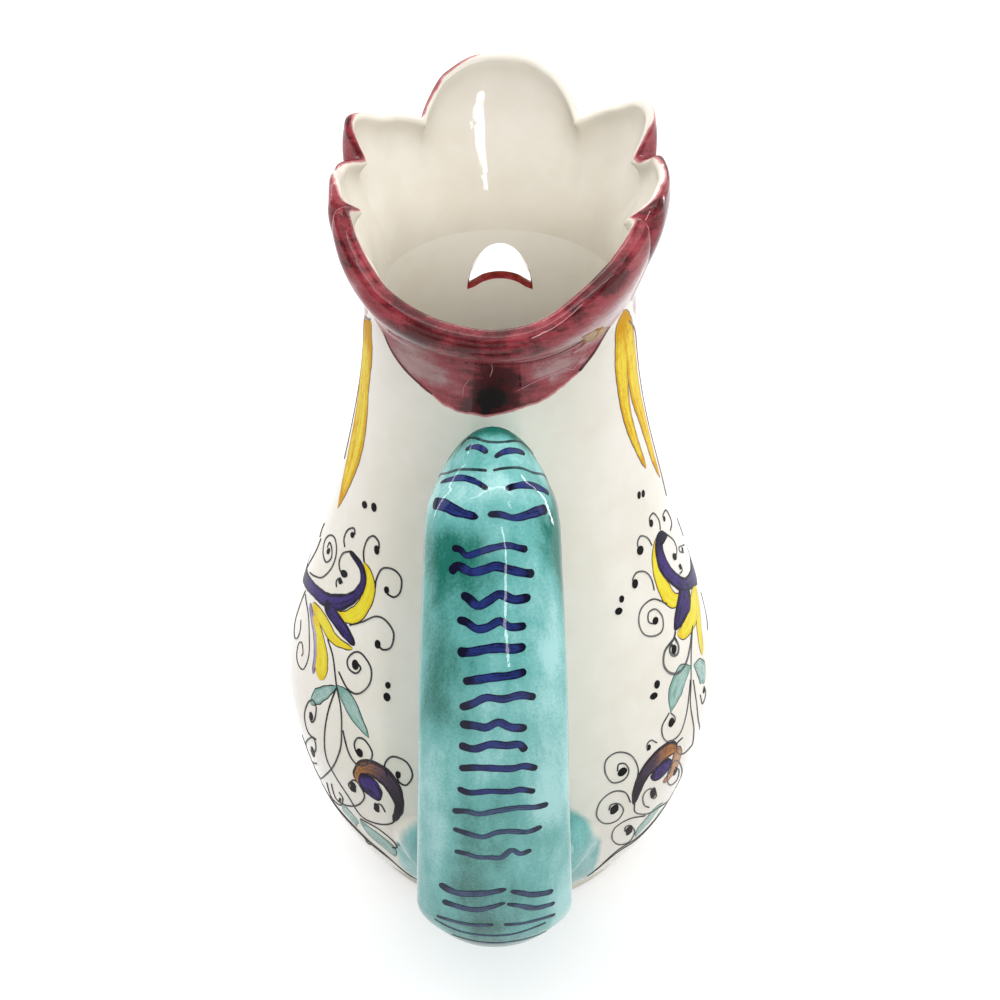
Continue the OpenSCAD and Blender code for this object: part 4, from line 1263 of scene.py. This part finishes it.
def brushwork():
    """All the painted ornament on the body and neck: scrolls, leaves and dots on both sides, feathers,
    a small spray on the breast, the eyes and the lines round the foot. Layers that lie over each other
    are lifted a few hundredths of a millimetre more."""
    violet = on_flanks(LEFT_VIOLET, RIGHT_VIOLET)
    yellow = on_flanks(LEFT_YELLOW, RIGHT_YELLOW)
    leaves = on_flanks(LEFT_LEAF, RIGHT_LEAF) + BREAST_LEAVES
    commas = on_flanks(LEFT_COMMA, RIGHT_COMMA)
    ochre = on_flanks([], RIGHT_OCHRE)
    lilac = on_flanks(LEFT_LILAC, [])
    lines = on_flanks(LEFT_LINES, []) + BREAST_LINES + FOOT_LINES
    dots = on_flanks(LEFT_DOTS, RIGHT_DOTS) + BREAST_DOTS
    eyes = eye_discs(9)
    ink = paint_glaze("grey black line paint", (92, 92, 94), (36, 36, 40), 0.3)
    outlines = (outlined(yellow + leaves + lilac, 0.03)
                + outlined(violet + commas + ochre, 0.09) + outlined(eyes, 0.05, 1.1))
    paint("ornament_outlines", body_place, outlines, ink)
    paint("feather_outlines", neck_place, outlined(FEATHERS, 0.04, 0.9) + lifted(FEATHER_LINES, 0.19),
          paint_glaze("grey ochre line paint", (176, 148, 110), (96, 84, 78)))
    # These are the crimson's dark edge lines and the painted shade in the crease under the comb
    paint("wine_lines_and_crease_shade", neck_place, lifted(WINE_LINES_AND_CREASE_SHADE, 0.08),
          paint_glaze("wine line paint and crease shade", (120, 44, 60), (44, 12, 22)))
    paint("pale_veins", neck_place, lifted(VEINS, 0.1),
          paint_glaze("pale vein glaze", (206, 150, 154), (176, 108, 116)))
    paint("ochre_dab", neck_place, lifted(OCHRE_DAB, 0.07),
          paint_glaze("ochre dab paint", (186, 146, 84), (154, 96, 56)))
    paint("ornament_lines", body_place, lifted(lines, 0.19), ink)
    paint("ornament_lines_right", body_place, lifted(on_flanks([], RIGHT_LINES), 0.19),
          paint_glaze("grey line paint", (128, 128, 128), (66, 66, 68), 0.3))
    paint("ornament_dots", body_place, lifted(dots, 0.21) + lifted(eye_discs(2.8), 0.2),
          paint_glaze("black dot paint", (16, 16, 18), (4, 4, 6), 0.25))
    paint("ornament_violet", body_place, lifted(violet, 0.15),
          paint_glaze("violet paint", (66, 46, 124), (16, 8, 40), 0.3))
    paint("ornament_yellow", body_place, lifted(yellow, 0.06) + lifted(eye_discs(5.6), 0.14),
          paint_glaze("yellow paint", (244, 232, 54), (238, 204, 0), 0.4))
    paint("neck_feathers", neck_place, lifted(FEATHERS, 0.08),
          paint_glaze("golden feather paint", (250, 226, 76), (222, 162, 0), 0.15))
    paint("ornament_leaves", body_place, lifted(leaves, 0.06),
          paint_glaze("pale teal leaf paint", (172, 202, 194), (118, 168, 156)))
    paint("ornament_commas", body_place, lifted(commas, 0.12), comma_glaze())
    paint("ornament_ochre", body_place, lifted(ochre, 0.12),
          paint_glaze("ochre paint", (196, 140, 84), (164, 98, 44)))
    paint("ornament_lilac", body_place, lifted(lilac, 0.06),
          paint_glaze("lilac paint", (186, 170, 204), (140, 120, 170)))
    paint("eye_whites", body_place, lifted(eyes, 0.1),
          paint_glaze("eye white paint", (246, 242, 234), (236, 230, 218)))


def tail_brushwork():
    """The strokes down the handle, slate blue on its lower half, and the thin lines over its crest."""
    lower = [stroke for stroke in TAIL_STROKES if stroke[1][0][0] > 50]
    upper = [stroke for stroke in TAIL_STROKES if stroke[1][0][0] < 50]
    for name, strokes, colours in (
            ("tail_strokes_lower", lower, ("slate blue paint", (66, 86, 124), (24, 36, 60))),
            ("tail_strokes", upper, ("cobalt paint", (40, 56, 124), (8, 10, 42))),
            ("tail_crest_lines", CREST_LINES, ("green black line paint", (54, 84, 84), (22, 38, 44)))):
        glaze = paint_glaze(*colours, wave=TAIL_WAVE)
        paint(name, tail_place, lifted(strokes, 0.1), glaze)


# Finishes


class Net:
    """Shader nodes of one tree, added one by one."""

    def __init__(self, tree):
        self.tree = tree

    def feed(self, socket, value):
        """Gives a socket another node's output or a plain value."""
        if isinstance(value, bpy.types.NodeSocket):
            self.tree.links.new(value, socket)
        else:
            socket.default_value = value

    def add(self, kind, inputs=None, **settings):
        """A node of a kind. settings are its own choices, and inputs names its sockets, by name or
        number, with what each is fed."""
        made = self.tree.nodes.new("ShaderNode" + kind)
        for key, value in settings.items():
            setattr(made, key, value)
        for key, value in (inputs or {}).items():
            self.feed(made.inputs[key], value)
        return made

    def math(self, operation, a, b=0.0, c=0.0):
        """Output of a math node."""
        return self.add("Math", {0: a, 1: b, 2: c}, operation=operation).outputs[0]

    def blend(self, factor, a, b):
        """Colour factor of the way from a to b."""
        return self.add("Mix", {0: factor, 6: a, 7: b}, data_type="RGBA").outputs[2]

    def ramp(self, value, low, high):
        """Value brought to 0 at low and 1 at high, smoothly and without passing them."""
        made = self.add("MapRange", {0: value, 1: low, 2: high}, interpolation_type="SMOOTHSTEP")
        return made.outputs[0]

    def place(self):
        """Coordinates of the piece itself, in metres."""
        return self.add("TexCoord").outputs["Object"]

    def stretched(self, place, factors):
        """Coordinates times a factor for each axis."""
        return self.add("Mapping", {0: place, 3: factors}).outputs[0]

    def noise(self, place, scale, detail, roughness=0.5):
        """Value of a cloudy noise."""
        return self.add("TexNoise", {
            "Vector": place, "Scale": scale, "Detail": detail, "Roughness": roughness}).outputs[0]

    def kept(self, name):
        """A number kept at the piece's points."""
        return self.add("Attribute", attribute_name=name).outputs["Fac"]

    def group(self, tree, inputs):
        """What a group puts out for its inputs."""
        return self.add("Group", inputs, node_tree=tree).outputs[0]


def colour(red, green, blue):
    """A colour written as a screen shows it, 0 to 255, made linear."""
    v = np.array([red, green, blue]) / 255
    linear = np.where(v <= 0.04045, v / 12.92, ((v + 0.055) / 1.055) ** 2.4)
    return (*[float(c) for c in linear], 1.0)


def new_group(name, colours, numbers, output="Color", kind="Color"):
    """A shader node group with named inputs, colours and then numbers, and one named output: its net,
    its inputs' values and its output's socket."""
    tree = bpy.data.node_groups.new(name, "ShaderNodeTree")
    kinds = {**dict.fromkeys(colours, "Color"), **dict.fromkeys(numbers, "Float")}
    for label, of_kind in kinds.items():
        tree.interface.new_socket(name=label, in_out="INPUT", socket_type="NodeSocket" + of_kind)
    tree.interface.new_socket(name=output, in_out="OUTPUT", socket_type="NodeSocket" + kind)
    given = tree.nodes.new("NodeGroupInput").outputs
    result = tree.nodes.new("NodeGroupOutput").inputs
    return Net(tree), given, result[output]


def mottle_group():
    """Glaze that pools and thins: two sizes of cloud over each other move it from thin to thick."""
    net, given, result = new_group("glaze mottle", ["Thin", "Thick"], ["Size", "Bias"])
    place = net.place()
    broad = net.noise(place, given["Size"], 3.0, 0.55)
    small = net.noise(place, net.math("MULTIPLY", given["Size"], 5.3), 4.0, 0.6)
    both = net.math("MULTIPLY_ADD", small, 0.35, net.math("MULTIPLY", broad, 0.65))
    share = net.ramp(net.math("ADD", both, given["Bias"]), 0.36, 0.66)
    net.feed(result, net.blend(share, given["Thin"], given["Thick"]))
    return net.tree


def ripple_group():
    """Unevenness of hand-thrown, dipped ware: broad waves and a faint fine grain, as a height."""
    net, given, result = new_group("glaze ripple", [], ["Wave", "Grain"], "Height", "Float")
    place = net.place()
    wave = net.noise(place, 38.0, 1.0, 0.4)
    fine = net.noise(place, 420.0, 2.0)
    height = net.math("MULTIPLY_ADD", wave, given["Wave"], net.math("MULTIPLY", fine, given["Grain"]))
    net.feed(result, height)
    return net.tree


def crimson_group():
    """Crimson brushed over white. Over is how far a point is past the brushed edge, in millimetres:
    at the edge the colour is a ragged rose line, then wine red with short brush marks drawn out round
    the piece. Pool moves it on to near black where it lies thick and back to a grey mauve wash where
    it is thin."""
    net, given, result = new_group("crimson brushwork", ["White"], ["Over", "Rag", "Darkening"])
    place = net.place()
    ragged = net.noise(place, 190.0, 4.0)
    over = net.math("MULTIPLY_ADD", net.math("SUBTRACT", ragged, 0.5), given["Rag"], given["Over"])
    broad = net.noise(place, 85.0, 3.0, 0.6)
    marks = net.noise(net.stretched(place, (0.3, 0.3, 1.0)), 560.0, 4.0, 0.6)
    grain = net.noise(place, 1500.0, 2.0, 0.7)
    mixed = net.math("MULTIPLY_ADD", marks, 0.9, net.math("MULTIPLY_ADD", broad, 1.1, -1.25))
    mixed = net.math("MULTIPLY_ADD", grain, 0.4, mixed)
    depth = net.math("ADD", mixed, given["Darkening"])
    red = net.blend(net.ramp(depth, -0.22, 0.2), colour(158, 54, 64), colour(80, 8, 16))
    dark = net.blend(net.ramp(depth, 0.3, 1.0), red, colour(34, 6, 9))
    wash = net.blend(net.ramp(mixed, -0.5, 0.5), colour(188, 148, 148), colour(144, 96, 98))
    thin = net.blend(net.ramp(depth, -0.15, -0.85), dark, wash)
    edged = net.blend(net.ramp(over, 0.4, 1.0), colour(206, 130, 130), thin)
    net.feed(result, net.blend(net.ramp(over, -0.15, 0.3), given["White"], edged))
    return net.tree


def teal_group():
    """Teal wash: three sizes of cloud, the middle one drawn out down the piece by the brush. It goes
    from pale cyan through teal to dark green as its first input adds to it, where the teal pools and, on
    the handle, as painted shade, and Low turns the dark bluer."""
    net, given, result = new_group("teal wash", [], ["Darkening", "Low"])
    place = net.place()
    broad = net.noise(place, 42.0, 2.0)
    drawn = net.noise(net.stretched(place, (1.0, 1.0, 0.3)), 190.0, 3.0, 0.6)
    grain = net.noise(place, 1300.0, 3.0, 0.75)
    mixed = net.math("MULTIPLY_ADD", broad, 1.1, net.math("MULTIPLY_ADD", drawn, 0.8, -1.25))
    mixed = net.math("MULTIPLY_ADD", grain, 0.6, mixed)
    depth = net.math("ADD", given["Darkening"], mixed)
    light = net.blend(net.ramp(depth, -0.35, 0.2), colour(170, 224, 222), colour(110, 186, 182))
    thick = net.blend(given["Low"], colour(20, 112, 98), colour(48, 104, 98))
    net.feed(result, net.blend(net.ramp(depth, 0.05, 0.85), light, thick))
    return net.tree


def pigment_group():
    """Brushed pigment: thicker and darker along the stroke's sides and at its ends, and streaked between
    them as the brush's hairs leave it."""
    net, given, result = new_group("brushed pigment", ["Thin", "Thick"], ["Along", "Across"])
    place = net.place()
    grain = net.noise(place, 1100.0, 3.0, 0.6)
    cloud = net.noise(place, 240.0, 2.0)
    down = net.math("MULTIPLY", given["Along"], 1.3)
    over = net.math("MULTIPLY", given["Across"], 1.9)
    streak = net.noise(net.add("CombineXYZ", {0: down, 1: over}).outputs[0], 1.6, 2.0)
    side = net.math("POWER", net.math("ABSOLUTE", given["Across"]), 3.0)
    ends = net.math("MAXIMUM", net.ramp(given["Along"], 0.25, 0.0), net.ramp(given["Along"], 0.84, 1.0))
    depth = net.math("MULTIPLY_ADD", side, 0.15, net.math("MULTIPLY", ends, 0.3))
    for cover, much in ((grain, 0.25), (cloud, 0.25), (streak, 0.5)):
        depth = net.math("MULTIPLY_ADD", cover, much, depth)
    share = net.ramp(depth, 0.42, 0.68)
    net.feed(result, net.blend(share, given["Thin"], given["Thick"]))
    return net.tree


MOTTLE = mottle_group()
RIPPLE = ripple_group()
TEAL = teal_group()
PIGMENT = pigment_group()
CRIMSON = crimson_group()
# How strongly the ripple's broad waves show in the handle's glaze
TAIL_WAVE = 2.2


def new_material(name):
    """An empty node material and its net."""
    made = bpy.data.materials.new(name)
    made.use_nodes = True
    made.node_tree.nodes.clear()
    return made, Net(made.node_tree)


def finish_glaze(net, base, roughness, wave=0.5, grain=0.05, coat=1.0):
    """The glaze's shader: base colour under a clear coat, with the ripple's height as its bump."""
    height = net.group(RIPPLE, {"Wave": wave, "Grain": grain})
    bump = net.add("Bump", {"Height": height, "Distance": 0.001, "Strength": 0.5}).outputs[0]
    shader = net.add("BsdfPrincipled", {
        "Base Color": base, "Roughness": roughness, "IOR": 1.5, "Specular IOR Level": 0.0,
        "Coat Weight": coat, "Coat Roughness": 0.03, "Coat IOR": 1.45, "Normal": bump,
        "Coat Normal": bump})
    net.add("OutputMaterial", {0: shader.outputs[0]})


def mottled(net, thin, thick, size, bias=0.0):
    """Glaze between two colours written as a screen shows them."""
    return net.group(MOTTLE, {
        "Thin": colour(*thin), "Thick": colour(*thick), "Size": size, "Bias": bias})


def crimsoned(net, white, over, rag, darkness=0.0):
    """Crimson over another colour."""
    return net.group(CRIMSON, {"White": white, "Over": over, "Rag": rag, "Darkening": darkness})


def white_mottle(net):
    """White tin glaze, a little creamier where it is thick."""
    return mottled(net, (246, 241, 231), (238, 232, 218), 22.0)


def washed(net, under):
    """Teal wash over another colour, fading out over a soft edge where wash_over falls to nothing."""
    teal = net.group(TEAL, {"Darkening": 0.15, "Low": 0.5})
    rag = net.noise(net.place(), 110.0, 3.0)
    over = net.math("MULTIPLY_ADD", net.math("SUBTRACT", rag, 0.5), 3.0, net.kept("wash_over"))
    return net.blend(net.ramp(over, -0.6, 1.6), under, teal)


def body_glaze():
    """White glaze, a lighter white inside as painted light in the hollow, with the crimson of the neck
    and of the pouring hole's sill.
    """
    made, net = new_material("white tin glaze")
    # Painted light: the inside takes a lighter white than the outside, to brighten the shaded hollow
    inside = mottled(net, (255, 252, 244), (252, 246, 233), 30.0)
    white = net.blend(net.kept("inner"), white_mottle(net), inside)
    neck = crimsoned(net, white, net.kept("crimson_over"), 2.0, net.kept("darkening"))
    cut = net.math("MULTIPLY_ADD", net.kept("cut_edge"), 8.0, -4.5)
    finish_glaze(net, washed(net, crimsoned(net, neck, cut, 1.2)), 0.12)
    return made


def comb_glaze():
    """Crimson outside and over the lip, with a ragged rose edge to the cream inside."""
    made, net = new_material("crimson comb glaze")
    cream = mottled(net, (245, 240, 229), (237, 230, 216), 22.0)
    from_lip = net.math("SUBTRACT", net.kept("paint_reach"), net.kept("reach_in"))
    over = net.math("MINIMUM", from_lip, net.kept("crimson_over"))
    base = crimsoned(net, cream, over, 2.0, net.kept("darkening"))
    finish_glaze(net, base, 0.12, wave=0.4, grain=0.06)
    return made


def teal_glaze():
    """Teal wash that goes dark green where it pools, and as painted shade on the strap's right side
    wall.
    """
    made, net = new_material("teal wash glaze")
    base = net.group(TEAL, {"Darkening": net.kept("darkening"), "Low": net.kept("low")})
    finish_glaze(net, base, 0.1, wave=TAIL_WAVE)
    return made


def pad_glaze():
    """Teal wash that thins out to white at the pad's rim."""
    made, net = new_material("teal pad glaze")
    finish_glaze(net, washed(net, white_mottle(net)), 0.1)
    return made


def brushed_glaze(net, thin, thick, along, **finish):
    """Pigment in the glaze, between two linear colours."""
    base = net.group(PIGMENT, {
        "Thin": thin, "Thick": thick, "Along": along, "Across": net.kept("across")})
    finish_glaze(net, base, 0.14, **finish)


def paint_glaze(name, thin, thick, coat=0.6, wave=0.5):
    """A brushed colour in the glaze. coat is the share of clear glaze that runs over it."""
    made, net = new_material(name)
    brushed_glaze(net, colour(*thin), colour(*thick), net.kept("along"), wave=wave, coat=coat)
    return made


def comma_glaze():
    """One brush loaded with ochre and violet: it goes from ochre through grey violet to near black."""
    made, net = new_material("ochre to violet paint")
    along = net.kept("along")
    middle = net.blend(net.ramp(along, 0.12, 0.48), colour(196, 130, 64), colour(88, 72, 92))
    last = net.blend(net.ramp(along, 0.4, 0.8), middle, colour(30, 24, 28))
    brushed_glaze(net, last, colour(46, 34, 46), 0.5, coat=0.3)
    return made


def beak_glaze():
    """Yellow with an orange wash towards the tip."""
    made, net = new_material("yellow beak glaze")
    bias = net.math("MULTIPLY_ADD", net.kept("along"), 0.3, -0.15)
    finish_glaze(net, mottled(net, (238, 196, 70), (214, 138, 34), 60.0, bias), 0.1)
    return made


def wattle_glaze():
    """Crimson all over."""
    made, net = new_material("crimson wattle glaze")
    finish_glaze(net, crimsoned(net, white_mottle(net), -UNPAINTED, 1.0), 0.1)
    return made


def foot_glaze():
    """White glaze down to a bare standing rim of clay with a ragged edge."""
    made, net = new_material("white foot glaze")
    white = white_mottle(net)
    place = net.place()
    z = net.add("SeparateXYZ", {0: place}).outputs[2]
    rag = net.noise(place, 90.0, 3.0)
    bare = net.ramp(net.math("MULTIPLY_ADD", rag, 0.001, z), 0.0018, 0.0013)
    clay = mottled(net, (214, 190, 160), (186, 152, 118), 300.0)
    rough = net.math("MULTIPLY_ADD", bare, 0.6, 0.12)
    finish_glaze(net, net.blend(bare, white, clay), rough, coat=0.6)
    return made


# Studio

# The camera: its lens in millimetres, how far it looks down, its distance, and its aim's height, in
# metres
LENS = 64.82
DOWN = np.radians(38.0)
DISTANCE = 0.56
AIM_Z = 0.1336
# Lamps: name, place, aim, size, power in watts, and a strip's other size
LAMPS = [
    ("over the back", (0.0, 0.8, 1.4), (0, 0, 0.14), 1.6, 6.4),
    ("overhead", (0.0, 0.0, 1.6), (0, 0, 0.14), 1.5, 7.6),
    ("front", (0.0, -1.1, 1.0), (0, 0, 0.14), 1.4, 5.2),
    ("front strip", (0.5, -1.2, 0.92), (0, 0, 0.22), 1.8, 3.8, 0.03),
    ("front left", (1.0, -0.7, 0.7), (0, 0, 0.14), 1.2, 5.0),
    ("front right", (-1.0, -0.7, 0.7), (0, 0, 0.14), 1.2, 4.6),
    ("right", (-1.2, 0.3, 0.75), (0, 0, 0.14), 1.2, 2.2),
    ("right strip", (-1.1, -0.5, 0.4), (0, 0, 0.14), 0.05, 2.0, 0.8),
    ("left strip", (1.1, -0.5, 0.4), (0, 0, 0.14), 0.05, 1.0, 0.8),
    ("back strip", (-0.26, 1.15, 0.66), (0, 0.1, 0.14), 0.07, 2.8, 1.0),
    ("top strip", (0.1, 0.55, 1.5), (0, 0.1, 0.2), 2.2, 2.4, 0.05)]


def looking(place, aim):
    """How an object at place stands when it looks at its aim."""
    turn = (place - aim).to_track_quat("Z", "Y")
    return Matrix.Translation(place) @ turn.to_matrix().to_4x4()


def camera():
    """The photograph's view, from behind and above, at a spot on the axis."""
    data = bpy.data.cameras.new("camera")
    data.sensor_width = 36.0
    data.lens = LENS
    data.clip_start = 0.01
    thing = new_object("camera", data)
    aim = Vector((0, 0, AIM_Z))
    thing.matrix_world = looking(aim + DISTANCE * Vector((0, np.cos(DOWN), np.sin(DOWN))), aim)
    bpy.context.scene.camera = thing


def lamp(name, place, aim, size, power, size_y=None):
    """A soft area lamp that looks at its aim."""
    data = bpy.data.lights.new(name, "AREA")
    data.energy = power
    data.size = size
    if size_y:
        data.shape = "RECTANGLE"
        data.size_y = size_y
    new_object(name, data).matrix_world = looking(Vector(place), Vector(aim))


def pale_floor():
    """The floor keeps the pitcher's shadow, and glows to look white to the camera and in reflections."""
    corners = 4.0 * np.array([[-1, -1, 0], [1, -1, 0], [1, 1, 0], [-1, 1, 0]])
    mesh = mesh_from("floor", corners, np.array([[0, 1, 2, 3]]), NO_TRIS)
    new_object("floor", mesh)
    made, net = new_material("pale floor")
    rays = net.add("LightPath").outputs
    seen = net.math("MAXIMUM", rays["Is Camera Ray"], rays["Is Glossy Ray"])
    plain = net.add("BsdfDiffuse", {"Color": (0.6, 0.6, 0.6, 1)})
    glow = net.add("Emission", {"Color": (1, 1, 1, 1), "Strength": net.math("MULTIPLY", seen, 0.5)})
    both = net.add("AddShader", {0: plain.outputs[0], 1: glow.outputs[0]})
    net.add("OutputMaterial", {0: both.outputs[0]})
    mesh.materials.append(made)


def sky():
    """Even world light, brighter where the camera sees it."""
    world = bpy.data.worlds.new("studio")
    bpy.context.scene.world = world
    world.use_nodes = True
    world.node_tree.nodes.clear()
    net = Net(world.node_tree)
    rays = net.add("LightPath").outputs
    seen = net.math("MAXIMUM", rays["Is Camera Ray"], rays["Is Transmission Ray"])
    strength = net.math("MULTIPLY_ADD", seen, 0.7, 0.3)
    light = net.add("Background", {"Color": (1, 1, 1, 1), "Strength": strength})
    net.add("OutputWorld", {0: light.outputs[0]})


bpy.context.scene.view_settings.view_transform = "Standard"
camera()
pale_floor()
sky()
for row in LAMPS:
    lamp(*row)
teal = teal_glaze()
crimson_wattle = wattle_glaze()
yellow_beak = beak_glaze()
body_shell(body_glaze())
foot_ring(foot_glaze())
comb_crown(comb_glaze())
upper_beak(yellow_beak)
lower_beak(yellow_beak)
wattle(1, "wattle_of_left", "wattle_left", crimson_wattle)
wattle(-1, "wattle_of_right", "wattle_right", crimson_wattle)
handle_pad(pad_glaze())
tail_handle(teal)
brushwork()
tail_brushwork()
